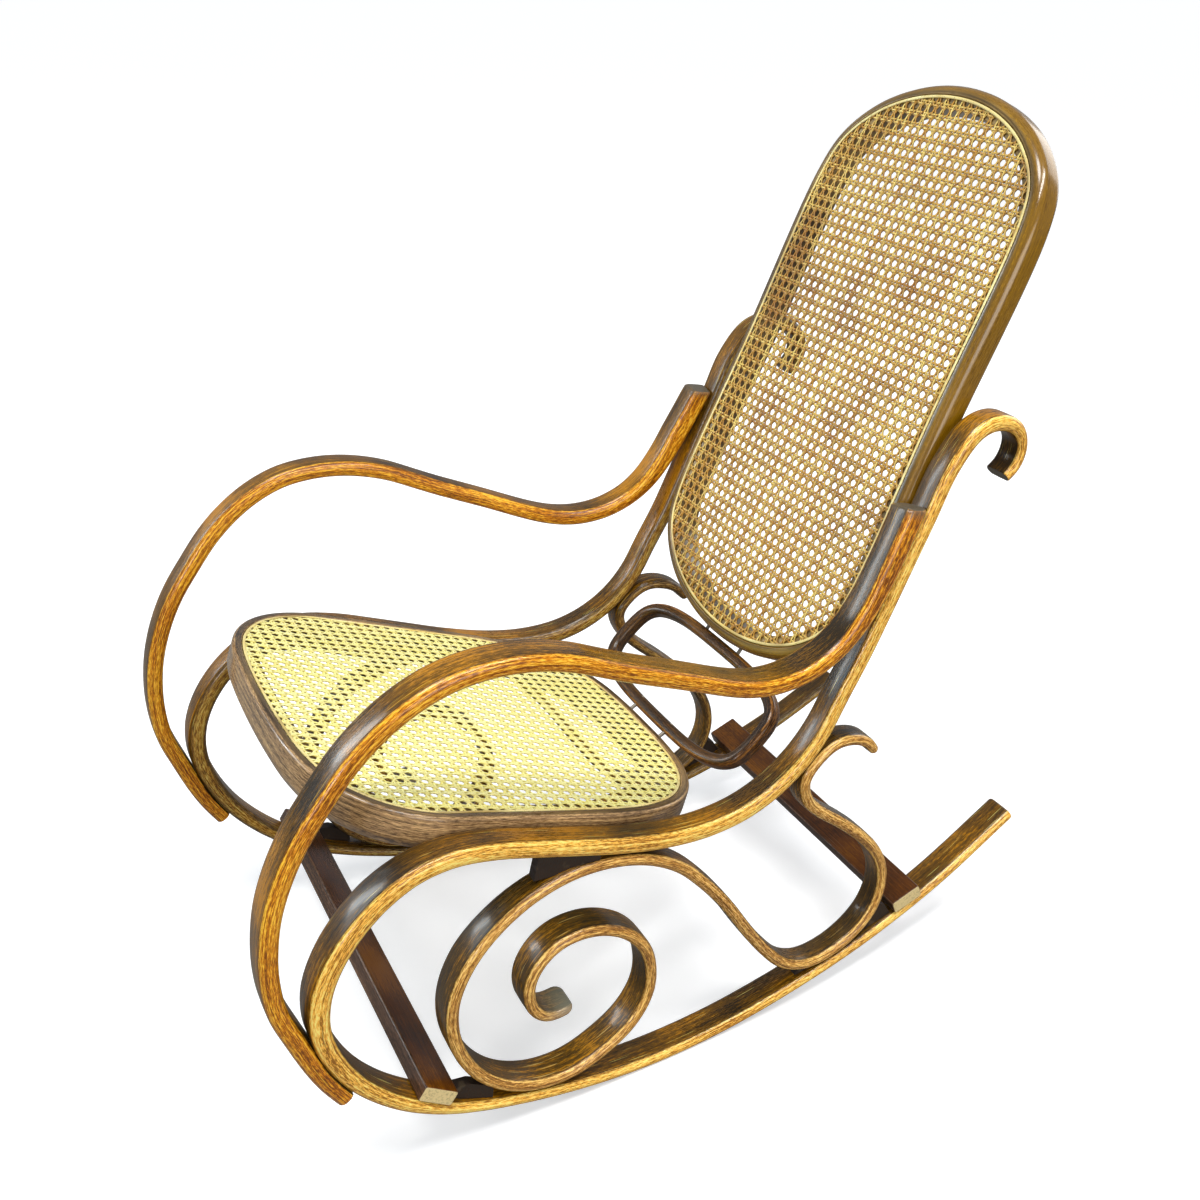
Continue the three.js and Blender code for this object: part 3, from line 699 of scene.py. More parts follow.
# %% Arms
ARM_LINE = [
    (270, 664), (262, 635), (253, 604), (242.5, 570.5), (228, 539.5), (209, 515.5), (180.5, 495),
    (150, 484), (125, 480.5), (101, 481), (76, 484.5), (50.5, 489.5), (19, 496), (-44, 508),
    (-75, 515), (-106.5, 522), (-137.5, 525), (-168.5, 524), (-200.5, 518), (-232.5, 506),
    (-260.5, 487), (-283.5, 464), (-305, 434), (-324, 395.5), (-339, 360), (-348.5, 324),
    (-353, 288), (-352.5, 258), (-347.5, 222), (-335.5, 183), (-313.9, 145.4), (-289.8, 107.9),
    (-272.8, 86), (-253.8, 66),
]
ARM_THICK = [(0, 26), (2, 26), (5, 20.5), (12, 19), (33, 19)]
ARM_BOW = [
    (0, -2.5), (3, 5), (6, 10), (9, 11.5), (12, 11.5), (15, 10), (19, 5), (23, -2), (26, -5), (29, -4.5),
    (33, 0),
]
ARM_WIDER = [(0, 0), (2, 0), (6, 6), (33, 6.5)]
ARM_CARVE = (26.0, 4.0, 1.5)
ARM_TOP_ROUND = 3.2
ARM_WORN = 14.0
ARM_GRAIN = (15.2, 18.8)
FIT_GAP = 0.3
FIT_THICK = [(k, v + 2 * FIT_GAP) for k, v in FRAME_THICK]
FIT_WIDTH = ROD_WIDTH + 4 * ROD_CORNER


def evaluated_mesh(holder):
    """The mesh that an object's modifiers make of it, as a new mesh."""
    bpy.context.view_layer.update()
    return bpy.data.meshes.new_from_object(holder.evaluated_get(bpy.context.evaluated_depsgraph_get()))


def cut_away(mesh, cutter):
    """Takes a cutter mesh out of a mesh and gives the result as a new mesh."""
    body, tool = new_object("fitting", mesh), new_object("fitting_tool", cutter)
    cut = body.modifiers.new("fit", "BOOLEAN")
    cut.operation, cut.solver, cut.object = "DIFFERENCE", "EXACT", tool
    made = evaluated_mesh(body)
    for o in (body, tool):
        bpy.data.objects.remove(o)
    return made


for label, side in SIDES:
    rod = side_rod(
        f"bent_arm_{label}", side, ARM_LINE, ARM_THICK, ARM_BOW, grain_starts=ARM_GRAIN,
        wider=ARM_WIDER, rounding=(ARM_TOP_ROUND, END_ROUND), carve=ARM_CARVE, worn_end=ARM_WORN,
    )
    fitted = cut_away(rod, side_rod("grown_frame", side, FRAME_LINE, FIT_THICK, FRAME_BOW, FIT_WIDTH))
    fitted.name = f"bent_arm_fitted_{label}"
    add_piece(fitted, arm_wood, f"arm_{label}")

# %% [markdown]
# Two square bars lie on the runners and hold the sides apart. Their ends are sawn flush with the outer
# faces, so the pale end grain shows there.

# %% Stretcher bars
BAR_WIDTH = 40.0
BAR_HEIGHT = 17.5
BAR_CORNER = 2.2
BAR_SETTLE = 0.8
BAR_PLACES = (("front", -162.0), ("rear", 456.0))
BAR_STEP = 12.0
BAR_END_ROUND = 1.0
BAR_GRAIN = (22.0, 25.0)
RUNNER_MARK = 36


def runner_at(u):
    """The runner under a given u: height of its middle line, its slope and its thickness."""
    place, heading, number, run = smooth_line(FRAME_LINE)
    place, heading, number = (a[number > RUNNER_MARK] for a in (place, heading, number))
    w = np.interp(u, place[:, 0], place[:, 1])
    slope = np.interp(u, place[:, 0], np.arctan2(heading[:, 1], heading[:, 0]))
    thick = np.interp(np.interp(u, place[:, 0], number), *np.array(FRAME_THICK, float).T)
    return w, slope, thick


for (end, at), grain_start in zip(BAR_PLACES, BAR_GRAIN):
    w, slope, thick = runner_at(at)
    lift = thick / 2 + BAR_SETTLE + BAR_HEIGHT / 2
    centre = (at - math.sin(slope) * lift, w + math.cos(slope) * lift)
    half = side_face(*centre)
    end_inset, end_shift = rounded_end(BAR_END_ROUND)
    head = end_shift - half
    middle = np.arange(-half + BAR_STEP, half - BAR_STEP / 2, BAR_STEP)
    across = np.concatenate([head, middle, -head[::-1]])
    inset = np.concatenate([end_inset, 0 * middle, end_inset[::-1]])
    a, b = rod_sections(BAR_WIDTH - 2 * inset, BAR_HEIGHT - 2 * inset, BAR_CORNER, crown=0.0)
    rows = on_plane((centre, slope), across[:, None], a, b)
    bar = mesh_from_rows(
        f"square_bar_{end}", rows, across * MM + grain_start,
        perimeter(BAR_WIDTH, BAR_HEIGHT, BAR_CORNER), section_masks(len(rows)),
    )
    add_piece(bar, bar_wood, f"{end}_stretcher")

# %% [markdown]
# The seat and back frames are hoops on tilted planes. Their section has a rounded rim, a small step down to
# the land that carries the cane, and a deep outer side. The corners of a drawn section are rounded by a
# helper, then the section travels round the outline.

# %% Hoops on a tilted plane
ARC_STEPS = 4
OUTER_SHARE = 0.6
SEAT_ORIGIN = (-24.5, 329.5)
SEAT_PLANE = (SEAT_ORIGIN, math.radians(-6.36))
BACK_PLANE = (BACK_ORIGIN, BACK_LEAN)
RING_PLANE = ((208.5, 360.5), math.radians(53.8))


def round_corners(corners):
    """A closed section from (inwards, out of plane, radius) corners, with an arc at each."""
    points = []
    count = len(corners)
    for i, (a, b, radius) in enumerate(corners):
        here = np.array([a, b], float)
        back, ahead = (np.array(corners[(i + d) % count][:2], float) - here for d in (-1, 1))
        back, ahead = back / np.linalg.norm(back), ahead / np.linalg.norm(ahead)
        half = math.acos(np.clip(back @ ahead, -1, 1)) / 2
        reach = radius / math.tan(half)
        centre = here + (back + ahead) / np.linalg.norm(back + ahead) * radius / math.sin(half)
        start, stop = here + back * reach - centre, here + ahead * reach - centre
        for share in np.arange(ARC_STEPS + 1) / ARC_STEPS:
            arm = start * (1 - share) + stop * share
            points.append(centre + arm / np.linalg.norm(arm) * radius)
    return np.array(points)


def hoop(name, outline, section, plane, grain_start, material, solid):
    """A hoop that follows a closed outline, as a piece; the section is (inwards, out of plane)."""
    place, heading, number, run = smooth_line(outline, closed=True)
    inwards, out = section.T
    x, v = beside(place, heading, inwards)
    rows = on_plane(plane, x, v, out + 0 * x)
    ring = np.roll(section, -1, 0) - np.roll(section, 1, 0)
    ring /= np.linalg.norm(ring, axis=1)[:, None]
    # Painted light: the outer side of a hoop takes the golden flank tones and the rim the dark stain, partly
    # wear and partly the light on the side.
    outer = np.abs(ring[:, 1]) * (inwards < inwards.max() * OUTER_SHARE)
    flank = np.ones((len(rows), 1)) * outer
    masks = {"flank": flank, "tip": 0 * flank}
    around = run_along(section) * MM
    mesh = mesh_from_rows(name, rows, run * MM + grain_start, around, masks, closed=True)
    add_piece(mesh, material, solid)


# %% Seat frame
SEAT_LENGTH = 478.0
SEAT_CLEAR = 1.2
SEAT_WIDEST = 0.345
SEAT_SHARES = [
    (0, -0.603), (0.261, -0.6), (0.478, -0.591), (0.651, -0.57), (0.803, -0.529),
    (0.916, -0.471), (0.977, -0.408), (1, -0.345), (0.99, -0.282), (0.978, -0.209),
    (0.963, -0.115), (0.943, 0), (0.923, 0.094), (0.881, 0.184), (0.786, 0.276), (0.638, 0.341),
    (0.452, 0.379), (0.239, 0.394), (0, 0.397),
]
SEAT_FRONT_U = SEAT_ORIGIN[0] - SEAT_WIDEST * SEAT_LENGTH
SEAT_HALF_WIDTH = side_face(SEAT_FRONT_U, SEAT_ORIGIN[1]) - ROD_WIDTH - SEAT_CLEAR
SEAT_RIM = 11.0
SEAT_GRAIN = 30.0
SEAT_SECTION = round_corners(
    [
        (0, -26, 9), (0.6, 1.2, 4.2), (SEAT_RIM - 0.6, 1.2, 1.6), (SEAT_RIM, -2.2, 0.4),
        (28, -2.2, 1.5), (28, -38, 4), (8, -38, 10),
    ]
)


def mirrored(half):
    """A whole outline from its right half."""
    return list(half) + [(-x, v) for x, v in reversed(half[1:-1])]


SEAT_OUTLINE = mirrored([(x * SEAT_HALF_WIDTH, v * SEAT_LENGTH) for x, v in SEAT_SHARES])
hoop("seat_hoop", SEAT_OUTLINE, SEAT_SECTION, SEAT_PLANE, SEAT_GRAIN, seat_wood, "seat_frame")

# %% Back frame
BACK_RIM = 13.3
BACK_END_STEPS = 8
BACK_GRAIN = 34.0
BACK_SECTION = round_corners(
    [
        (0, -27, 7), (0, 1.2, 11.2), (BACK_RIM - 0.3, 0.6, 1.4), (BACK_RIM, -2.2, 0.3),
        (26, -2.2, 1.5), (26, -34, 4), (7, -34, 6),
    ]
)


def back_outline():
    """Straight flanks and elliptic ends, a little wider towards the bottom."""
    outline = []
    for end in (1, -1):
        for i in range(BACK_END_STEPS + 1):
            angle = math.pi * i / BACK_END_STEPS
            x = end * BACK_HALF_WIDTH * math.cos(angle)
            v = end * (BACK_STRAIGHT_HALF + BACK_END_HEIGHT * math.sin(angle))
            outline.append((x * (1 + BACK_TAPER * v), v))
        outline.append((-end * BACK_HALF_WIDTH, 0))
    return outline


BACK_OUTLINE = back_outline()
hoop("back_hoop", BACK_OUTLINE, BACK_SECTION, BACK_PLANE, BACK_GRAIN, back_wood, "back_frame")

# %% [markdown]
# The small ring between the seat and the back is a flattened oval of round rod.

# %% Link ring
RING_HALF = (155.0, 63.5)
RING_SQUARENESS = 3.4
RING_THICK = 14.5
RING_DEEP = 18.0
RING_STEPS = 40
RING_ROUND = 5.5
RING_GRAIN = 38.0
RING_SECTION = round_corners(
    [(a, b * RING_DEEP / 2, RING_ROUND) for a, b in ((0, -1), (0, 1), (RING_THICK, 1), (RING_THICK, -1))]
)
ring_outline = []
for i in range(RING_STEPS):
    angle = 2 * math.pi * (i + 0.5) / RING_STEPS
    x, v = (math.copysign(abs(k) ** (2 / RING_SQUARENESS), k) for k in (math.cos(angle), math.sin(angle)))
    ring_outline.append((x * RING_HALF[0], v * RING_HALF[1]))
hoop("oval_ring", ring_outline, RING_SECTION, RING_PLANE, RING_GRAIN, ring_wood, "link_ring")

# %% [markdown]
# Six-way cane has pairs of strands lengthwise and crosswise, and single strands on both diagonals.
# In a pair, one strand rises where its twin dips. One set of diagonals goes over the crosswise pairs and
# under the lengthwise ones, the other set the other way, and that locks the octagonal holes open.
#
# The strands are the kind of thing that Geometry Nodes do well: a path, a rule for its height, a profile.
# The paths come in as bare edges on the flat panel. Their attributes are the phase along the weave, the sense
# of its first wave, the run and the tint. The tree lifts the points, sweeps a crowned strip along each path
# and ends in Realize Instances and Set Material.

# %% Paths of the cane strands
PITCH = 12.7
PAIR_HALF = 1.6
CANE_INSET = 1.6
PAIR_STATIONS = 6
DIAGONAL_STATIONS = 8
DIAGONAL_PHASE = 0.25
END_SHARE = 0.3
STRAND_WAYS = {
    "lengthwise": (0, 1), "crosswise": (1, 0), "diagonal_left": (1, 1), "diagonal_right": (1, -1),
}


def inset_outline(outline, inset):
    """A closed outline drawn in by a distance, as points."""
    place, heading, number, run = smooth_line(outline, closed=True)
    return np.hstack(beside(place, heading, inset))


def clip_line(origin, direction, edge):
    """The two places where a line leaves an outline, as distances along the line, or None."""
    normal = np.array([-direction[1], direction[0]])
    side = (edge - origin) @ normal
    ahead = np.roll(side, -1)
    cross = np.nonzero((side > 0) != (ahead > 0))[0]
    if len(cross) < 2:
        return None
    share = side[cross] / (side[cross] - ahead[cross])
    points = edge[cross] + (np.roll(edge, -1, 0)[cross] - edge[cross]) * share[:, None]
    along = (points - origin) @ direction
    return along.min(), along.max()


def strand_paths(edge, family, way, draws):
    """Points, edges and attributes of all strands of one family: 0 long, 1 cross, 2 and 3 diagonal."""
    diagonal = family > 1
    direction = np.array(way) / math.hypot(*way)
    wave = PITCH * math.hypot(*way)
    step = wave / (DIAGONAL_STATIONS if diagonal else PAIR_STATIONS)
    points, edges = [], []
    table = {"phase": [], "sense": [], "run": [], "tint": []}
    reach = 2 * (int(np.abs(edge).max() / PITCH) + 2)
    for k in range(-reach, reach + 1):
        for twin in (1,) if diagonal else (-1, 1):
            offset = (k + 0.5) * PITCH if diagonal else k * PITCH + twin * PAIR_HALF
            origin = np.array([offset, 0.0] if family == 0 else [0.0, offset])
            clipped = clip_line(origin, direction, edge)
            if clipped is None or clipped[1] - clipped[0] < PITCH / 2:
                continue
            start = math.ceil(clipped[0] / step + END_SHARE)
            stop = math.floor(clipped[1] / step - END_SHARE)
            at = np.concatenate([[clipped[0]], np.arange(start, stop + 1) * step, [clipped[1]]])
            first = len(points)
            points.extend(origin + direction * a for a in at)
            edges.extend((first + i, first + i + 1) for i in range(len(at) - 1))
            table["phase"].extend(at / wave + (DIAGONAL_PHASE if diagonal else 0))
            table["sense"].extend([(-twin, twin, -1, -1)[family]] * len(at))
            table["run"].extend(at * MM)
            table["tint"].extend([draws.random()] * len(at))
    return points, edges, table


print("one square of the weave is", PITCH, "mm wide")

# %% The weave as a Geometry Nodes tree
GEOMETRY = ("Geometry", "Geometry")
MATERIAL = ("Material", "Material")


def sweep_profile(n, paths, profile, caps, given, result):
    """The end of both trees: sweeps a profile along flat paths and puts the material on."""
    curves = n.add("GeometryNodeMeshToCurve", {"Mesh": paths})
    flat = n.add("GeometryNodeSetCurveNormal", {"Curve": curves}, mode="Z_UP")
    swept = n.add("GeometryNodeCurveToMesh", {"Curve": flat, "Profile Curve": profile, "Fill Caps": caps})
    soft = n.add("GeometryNodeSetShadeSmooth", {"Geometry": swept})
    real = n.add("GeometryNodeRealizeInstances", {"Geometry": soft})
    dressed = n.add("GeometryNodeSetMaterial", {"Geometry": real, "Material": given["Material"]})
    n.feed(result["Geometry"], dressed)


def weave_tree():
    """Lifts each path into its wave and sweeps a crowned strip along it."""
    n, given, result = new_tree(
        "cane_weave", "GeometryNodeTree",
        [GEOMETRY, ("Strand Width", "Float"), ("Strand Thickness", "Float"), ("Rise", "Float"), MATERIAL],
        [GEOMETRY],
    )
    phase, sense = (
        n.add("GeometryNodeInputNamedAttribute", {"Name": label}, data_type="FLOAT")
        for label in ("phase", "sense")
    )
    turn = n.math("SINE", n.times(phase, 2 * math.pi))
    lift = n.add("ShaderNodeCombineXYZ", {"Z": n.times(n.times(turn, sense), given["Rise"])})
    lifted = n.add("GeometryNodeSetPosition", {"Geometry": given["Geometry"], "Offset": lift})
    width = given["Strand Width"]
    sizes = {
        "Top Width": width, "Bottom Width": n.times(width, 0.5), "Offset": 0.0,
        "Height": given["Strand Thickness"],
    }
    strip = n.add("GeometryNodeCurvePrimitiveQuadrilateral", sizes, mode="TRAPEZOID")
    above = n.add("ShaderNodeSeparateXYZ", {0: n.add("GeometryNodeInputPosition")})
    # The crown mask marks the top of each strip; the cane finish paints the sides with the side-shade tone.
    crown = n.math("LESS_THAN", above.outputs["Y"], 0.0)
    stored = {"Geometry": strip, "Name": "crown", "Value": crown}
    crowned = n.add("GeometryNodeStoreNamedAttribute", stored, data_type="FLOAT")
    sweep_profile(n, lifted, crowned, True, given, result)
    return n.tree


WEAVE = weave_tree()
print("the weave tree has", len(WEAVE.nodes), "nodes")

# %% [markdown]
# Cane is the glossy skin of rattan. Every strand has its own tint, its colour drifts along its length, and
# hands and backs have browned it in patches. The sides of each strand, off its crown, are painted darker as
# the shade between strands. The strand's own attributes carry the tint, the run and the crown.

# %% Cane as a node group
CANE_MASKS = ("Tint", "Run", "Crown")
CANE_TONES = ("Pale", "Middle", "Brown", "Side Shade")

t, result, given = new_skin(
    "cane_skin", [("Place", "Vector"), ("Browning", "Float")], CANE_MASKS, CANE_TONES
)
CANE_SKIN = t.tree
place, browning, tint, run, crown, pale, middle, brown, edge = given
strip_place = t.add("ShaderNodeCombineXYZ", {"X": t.times(run, 24.0), "Y": t.times(tint, 97.0)})
drift = t.noise(strip_place, 1.0, 2.0, 0.6)
specks = t.noise(place, 420.0, 2.0, 0.6)
patch = t.noise(place, 11.0, 2.0, 0.55)
share = t.plus(t.times(drift, 0.9), t.math("MULTIPLY_ADD", tint, 0.5, -0.2))
shown = t.mix(t.smooth(share, 0.25, 0.75), middle, pale)
browned = t.times(t.smooth(t.plus(patch, t.centred(drift, 0.5)), 0.5, 0.72), browning)
flecked = t.times(t.smooth(specks, 0.56, 0.7), t.times(browning, 0.8))
shown = t.mix(t.math("MAXIMUM", browned, flecked), shown, brown)
# Painted shade: off the crown, the sloping sides of each strand take the darker side-shade tone, as the shade
# between strands.
shown = t.mix(t.smooth(crown, 0.15, 0.85), edge, shown)
t.feed(result["Color"], shown)
t.feed(result["Roughness"], t.smooth(drift, 0.2, 0.8, 0.3, 0.5))
t.feed(result["Height"], specks)
print("the cane group has", len(CANE_SKIN.nodes), "nodes")

# %% Cane materials
CANE_BUMP = (0.3, 0.0003)
CANE_SHINE = {"Coat Weight": 0.3, "Coat Roughness": 0.2}


def cane_material(name, browning, *tones):
    """Cane in its own tones: pale, middle, brown, and the painted shade on the sides of the strands."""
    return finish_material(
        name, CANE_SKIN, CANE_MASKS, CANE_TONES, tones, {"Browning": browning}, CANE_BUMP, CANE_SHINE
    )


seat_straw = cane_material(
    "seat_straw", 0.12, (255, 253, 186), (251, 245, 154), (214, 166, 66), (210, 188, 78)
)
seat_straw_crossing = cane_material(
    "seat_straw_crossing", 0.15, (250, 242, 166), (240, 226, 124), (200, 152, 54), (188, 160, 52)
)
back_straw = cane_material(
    "back_straw", 0.6, (246, 218, 122), (200, 146, 52), (144, 82, 18), (100, 56, 6)
)
back_straw_crossing = cane_material(
    "back_straw_crossing", 0.65, (218, 178, 84), (166, 114, 34), (122, 66, 12), (88, 46, 5)
)
print("made", len([m for m in bpy.data.materials if "straw" in m.name]), "cane materials")

# %% The woven panels
CANE_LEVEL = -0.95
SEAT_STRANDS = (2.9, 2.5)
BACK_STRANDS = (2.6, 2.2)
STRAND_THICK = 0.8
STRAND_RISES = (0.5, 0.8)
SEAT_DRAWS = 11
BACK_DRAWS = 12
SEAT_PANEL = (SEAT_OUTLINE, SEAT_RIM, SEAT_PLANE)
BACK_PANEL = (BACK_OUTLINE, BACK_RIM, BACK_PLANE)


def path_mesh(points, edges, table):
    """Bare edges on the flat panel, with the numbers that the strands carry."""
    mesh = bpy.data.meshes.new("paths")
    mesh.from_pydata([(x, v, 0.0) for x, v in points], edges, [])
    write_attributes(mesh, table)
    return mesh


def swept_piece(name, paths, tree, values, plane, level, solid):
    """Runs a tree on flat paths, in millimetres, and puts what it makes on its tilted plane as a piece."""
    holder = new_object("paths", paths)
    nodes = holder.modifiers.new("tree", "NODES")
    nodes.node_group = tree
    for socket in tree.interface.items_tree:
        if socket.in_out == "INPUT" and socket.name in values:
            nodes[socket.identifier] = values[socket.name]
    made = evaluated_mesh(holder)
    bpy.data.objects.remove(holder)
    made.name = name
    x, v, q = vertex_places(made).T
    move_vertices(made, on_plane(plane, x, v, q + level))
    turn_outwards(made)
    add_piece(made, values["Material"], solid)


def weave_panel(part, panel, materials, widths, seed):
    """All four families of strands of one panel, each a piece of its own."""
    outline, rim, plane = panel
    edge = inset_outline(outline, rim + CANE_INSET)
    draws = random.Random(seed)
    for family, (label, way) in enumerate(STRAND_WAYS.items()):
        paths = path_mesh(*strand_paths(edge, family, way, draws))
        kind = family // 2
        values = {
            "Strand Width": widths[kind], "Strand Thickness": STRAND_THICK, "Rise": STRAND_RISES[kind],
            "Material": materials[kind],
        }
        swept_piece(
            f"{part}_weave_{label}", paths, WEAVE, values, plane, CANE_LEVEL, f"{part}_cane"
        )


weave_panel("seat", SEAT_PANEL, (seat_straw, seat_straw_crossing), SEAT_STRANDS, SEAT_DRAWS)
weave_panel("back", BACK_PANEL, (back_straw, back_straw_crossing), BACK_STRANDS, BACK_DRAWS)

# %% [markdown]
# A half-round rattan spline is glued into a groove all round each panel and hides the cut ends of the cane.
# It follows a path, so a tree with the same end sweeps it: outline in, profile along it, material on.

# %% Splines
SPLINE_WIDTH = 3.2
SPLINE_HEIGHT = 1.5
SPLINE_GAP = 0.4
SPLINE_LEVEL = -0.4
SPLINE_SIDES = 14


def spline_tree():
    """Sweeps a crowned profile along a closed path."""
    n, given, result = new_tree(
        "rattan_spline", "GeometryNodeTree",
        [GEOMETRY, ("Width", "Float"), ("Height", "Float"), MATERIAL], [GEOMETRY],
    )
    round_wire = {"Resolution": SPLINE_SIDES, "Radius": 0.5}
    disc = n.add("GeometryNodeCurvePrimitiveCircle", round_wire, mode="RADIUS")
    sizes = n.add("ShaderNodeCombineXYZ", {"X": given["Width"], "Y": given["Height"], "Z": 1.0})
    shaped = n.add("GeometryNodeTransform", {"Geometry": disc, "Scale": sizes})
    sweep_profile(n, given["Geometry"], shaped, False, given, result)
    return n.tree


SPLINE = spline_tree()
spline_straw = cane_material(
    "spline_straw", 0.7, (255, 244, 176), (226, 196, 110), (150, 112, 44), (196, 160, 70)
)

for part, (outline, rim, plane) in (("seat", SEAT_PANEL), ("back", BACK_PANEL)):
    line = inset_outline(outline, rim + SPLINE_GAP + SPLINE_WIDTH / 2)
    count = len(line)
    table = {"run": run_along(line) * MM, "tint": np.full(count, 0.5), "crown": np.ones(count)}
    paths = path_mesh(line, [(i, (i + 1) % count) for i in range(count)], table)
    values = {"Width": SPLINE_WIDTH, "Height": SPLINE_HEIGHT, "Material": spline_straw}
    swept_piece(
        f"{part}_edge_spline", paths, SPLINE, values, plane, SPLINE_LEVEL + SPLINE_HEIGHT / 2,
        f"{part}_spline",
    )

# %% [markdown]
# The wedge blocks and the screws keep their solids. The blocks are coloured near black, partly dark wood and
# partly painted shade in the narrow gaps they fill, with saw marks and old glue. The screws are steel that
# has gone dull.

# %% Materials of the kept solids
block_wood_and_shade, t, shader = new_material("block_wood_and_shade")
here = t.add("ShaderNodeTexCoord").outputs["Object"]
saw = t.stretched(here, (90.0, 900.0, 300.0), 3.0, 0.6)
glue = t.smooth(t.noise(here, 60.0, 2.0, 0.5), 0.6, 0.72, 0.0, 0.5)
# Painted shade: the near-black tones also stand for the shade in the gaps that the blocks fill.
sawn = t.two_stops(saw, colour(20, 13, 8), colour(52, 34, 20))
t.feed(shader["Base Color"], t.mix(glue, sawn, colour(92, 78, 56)))
t.feed(shader["Roughness"], t.smooth(saw, 0.3, 0.7, 0.45, 0.75))
t.feed(shader["Normal"], t.bumped(saw, 0.5, 0.0005))

screw_steel, t, shader = new_material("screw_steel")
dull = t.noise(t.add("ShaderNodeTexCoord").outputs["Object"], 400.0, 3.0, 0.6)
t.feed(shader["Base Color"], t.two_stops(dull, colour(92, 84, 72), colour(150, 144, 134)))
t.feed(shader["Roughness"], t.smooth(dull, 0.3, 0.7, 0.3, 0.55))
shader["Metallic"].default_value = 1.0

for name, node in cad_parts.items():
    if "_block_" in name or "_screw_" in name:
        node.data.materials.clear()
        node.data.materials.append(block_wood_and_shade if "_block_" in name else screw_steel)
print("blocks and screws dressed")

# %% [markdown]
# The floor is a plain pale sheet. Towards the camera it glows a little, so the background comes out white
# and the chair keeps its soft shadow.

# %% Floor and backdrop
FLOOR_HALF = 30.0
FLOOR_CORNERS = [(x * FLOOR_HALF, y * FLOOR_HALF, 0) for x, y in ((-1, -1), (1, -1), (1, 1), (-1, 1))]
FLOOR_LIT = (128, 126, 124)
FLOOR_SEEN = (236, 236, 238)
FLOOR_GLOW = 0.4
ROOM_TONE = (0.86, 0.92, 1.0, 1)
ROOM_LIGHT = 0.3
WHITE = (1, 1, 1, 1)

floor_mesh = bpy.data.meshes.new("floor")
floor_mesh.from_pydata(FLOOR_CORNERS, [], [(0, 1, 2, 3)])
new_object("floor", floor_mesh)
floor_white, t, shader = new_material("floor_white")
seen = t.add("ShaderNodeLightPath").outputs["Is Camera Ray"]
t.feed(shader["Base Color"], t.mix(seen, colour(*FLOOR_LIT), colour(*FLOOR_SEEN)))
t.feed(shader["Roughness"], 0.9)
t.feed(shader["Specular IOR Level"], 0.1)
t.feed(shader["Emission Color"], WHITE)
t.feed(shader["Emission Strength"], t.times(seen, FLOOR_GLOW))
floor_mesh.materials.append(floor_white)

world = bpy.data.worlds.new("studio")
bpy.context.scene.world = world
world.use_nodes = True
t = Tree(world.node_tree)
backdrop = world.node_tree.nodes["Background"].inputs
rays = t.add("ShaderNodeLightPath").outputs
seen = t.math("MAXIMUM", rays["Is Camera Ray"], rays["Is Transmission Ray"])
t.feed(backdrop["Color"], t.mix(seen, ROOM_TONE, WHITE))
t.feed(backdrop["Strength"], t.smooth(seen, 0, 1, ROOM_LIGHT, 1.0))
print("the floor is", 2 * FLOOR_HALF, "m wide")

# %% [markdown]
# A broad lamp above makes the highlights along the varnished edges, and a cool panel in front of the chair
# gives the bluish sheen on what faces the front.

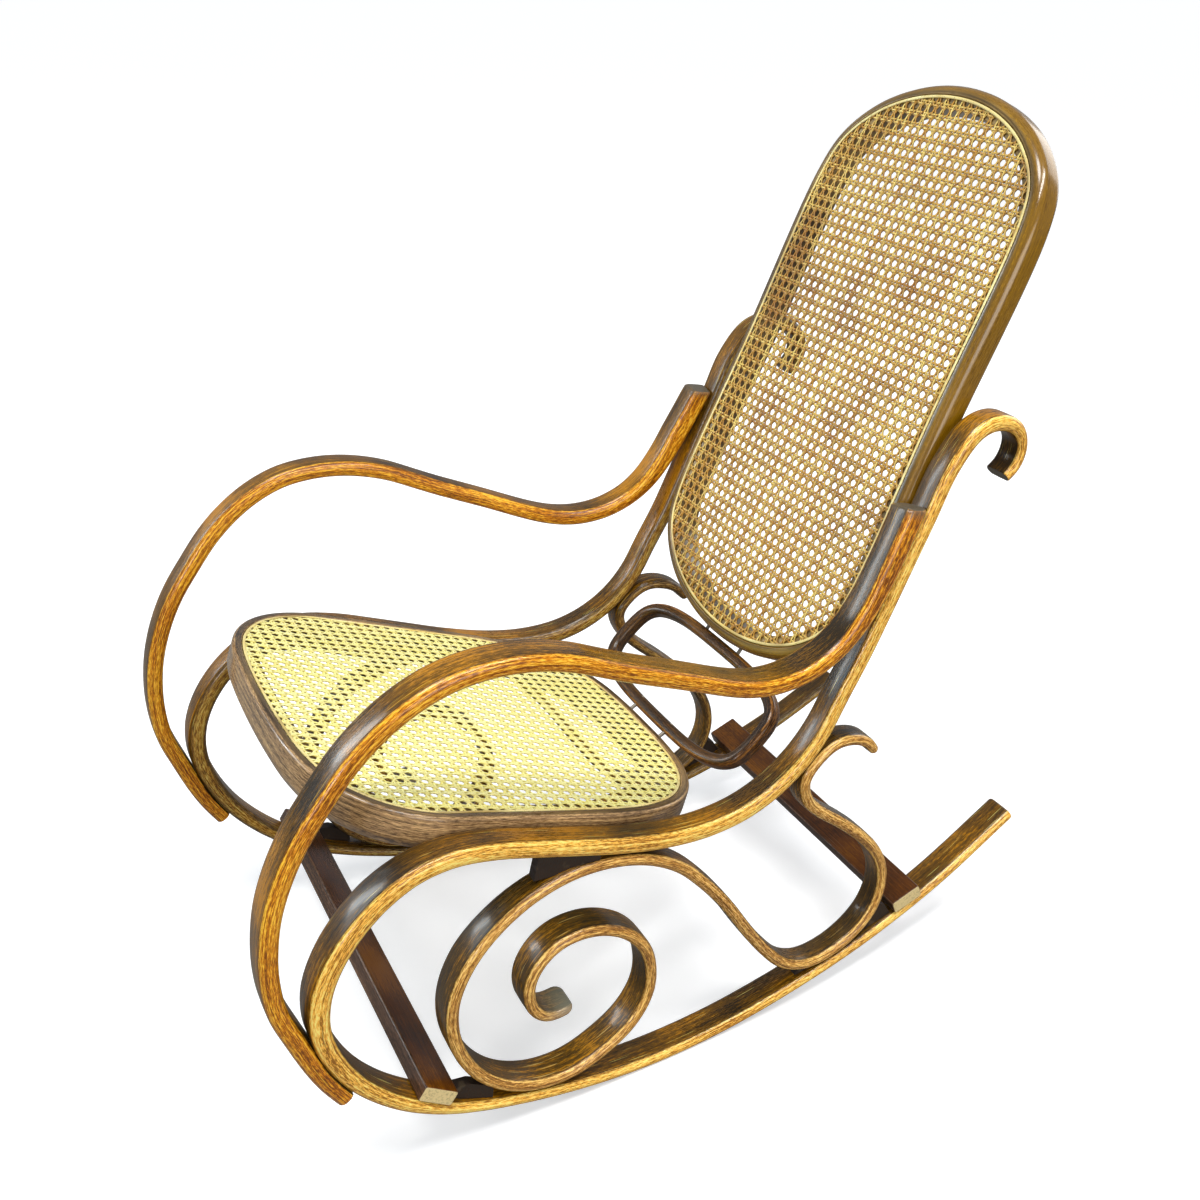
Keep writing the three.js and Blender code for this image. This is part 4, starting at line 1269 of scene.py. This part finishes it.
# %% Lamps
OVERHEAD_WAY = (-0.1, 0.25, -1.0)
OVERHEAD_POWER = 1.5
OVERHEAD_SPREAD = math.radians(20)
OVERHEAD_TONE = (1.0, 0.99, 0.95)
WINDOWS = (
    ("long_window", (1.3, 0.45, 2.9), (0, 0, 0.5), (2.0, 0.25), 42, (1.0, 1.0, 0.98)),
    ("near_window", (2.2, -3.0, 1.3), (0, 0, 0.6), (0.3, 0.7), 20, (1.0, 1.0, 1.0)),
    ("front_sky", (-1.8, -2.8, 1.7), (0, 0, 0.5), (1.6, 1.4), 17, (0.5, 0.8, 1.0)),
    ("rim_window", (-2.2, -2.3, 1.8), (0.1, 0.2, 0.7), (0.45, 1.5), 22, (1.0, 1.0, 0.98)),
    ("side_fill", (3.6, 0.2, 1.3), (0, 0, 0.5), (2.2, 1.6), 46, (1.0, 0.95, 0.86)),
    ("rear_fill", (-0.6, 3.4, 1.7), (0, 0, 0.6), (2.2, 1.8), 26, (1.0, 0.98, 0.94)),
)


def add_lamp(name, kind, way, power, tone):
    """A lamp that shines one way."""
    lamp = new_object(name, bpy.data.lights.new(name, kind))
    lamp.data.energy, lamp.data.color = power, tone
    lamp.rotation_mode = "QUATERNION"
    lamp.rotation_quaternion = Vector(way).to_track_quat("-Z", "Y")
    return lamp


add_lamp("overhead", "SUN", OVERHEAD_WAY, OVERHEAD_POWER, OVERHEAD_TONE).data.angle = OVERHEAD_SPREAD
for name, place, aim, size, power, tone in WINDOWS:
    lamp = add_lamp(name, "AREA", Vector(aim) - Vector(place), power, tone)
    lamp.location = place
    lamp.data.shape, lamp.data.size, lamp.data.size_y = "RECTANGLE", *size
bpy.context.scene.view_settings.view_transform = "Standard"
print(1 + len(WINDOWS), "lamps are in place")

# %% [markdown]
# The camera stands where the photograph was taken from: in front of the chair's left side, above the arms.
# It was found by fitting the bent lines of both sides, and it is given in the frame of the drawing.

# %% Camera
CAMERA_PLACE = (1219.85, -686.0, 1008.0)
CAMERA_FORWARD = (-0.7966, 0.4903, -0.3537)
CAMERA_RIGHT = (0.4481, 0.8716, 0.199)
FOCAL_PIXELS = 1380.0
IMAGE_PIXELS = 1200.0
SENSOR = 36.0


def turned(direction):
    """A direction of the drawing as a direction of the standing chair."""
    x, u, w = direction
    return Vector((x, *tilted(u, w)))


forward = turned(CAMERA_FORWARD).normalized()
right = turned(CAMERA_RIGHT)
right = (right - forward * right.dot(forward)).normalized()
up = right.cross(forward)
camera_data = bpy.data.cameras.new("camera")
camera_data.sensor_width = SENSOR
camera_data.lens = SENSOR * FOCAL_PIXELS / IMAGE_PIXELS
camera = new_object("camera", camera_data)
turn = Matrix((right, up, -forward)).transposed().to_4x4()
camera.matrix_world = Matrix.Translation(Vector(stand(*CAMERA_PLACE).tolist())) @ turn
bpy.context.scene.camera = camera
print("camera at", [round(c, 3) for c in camera.location])
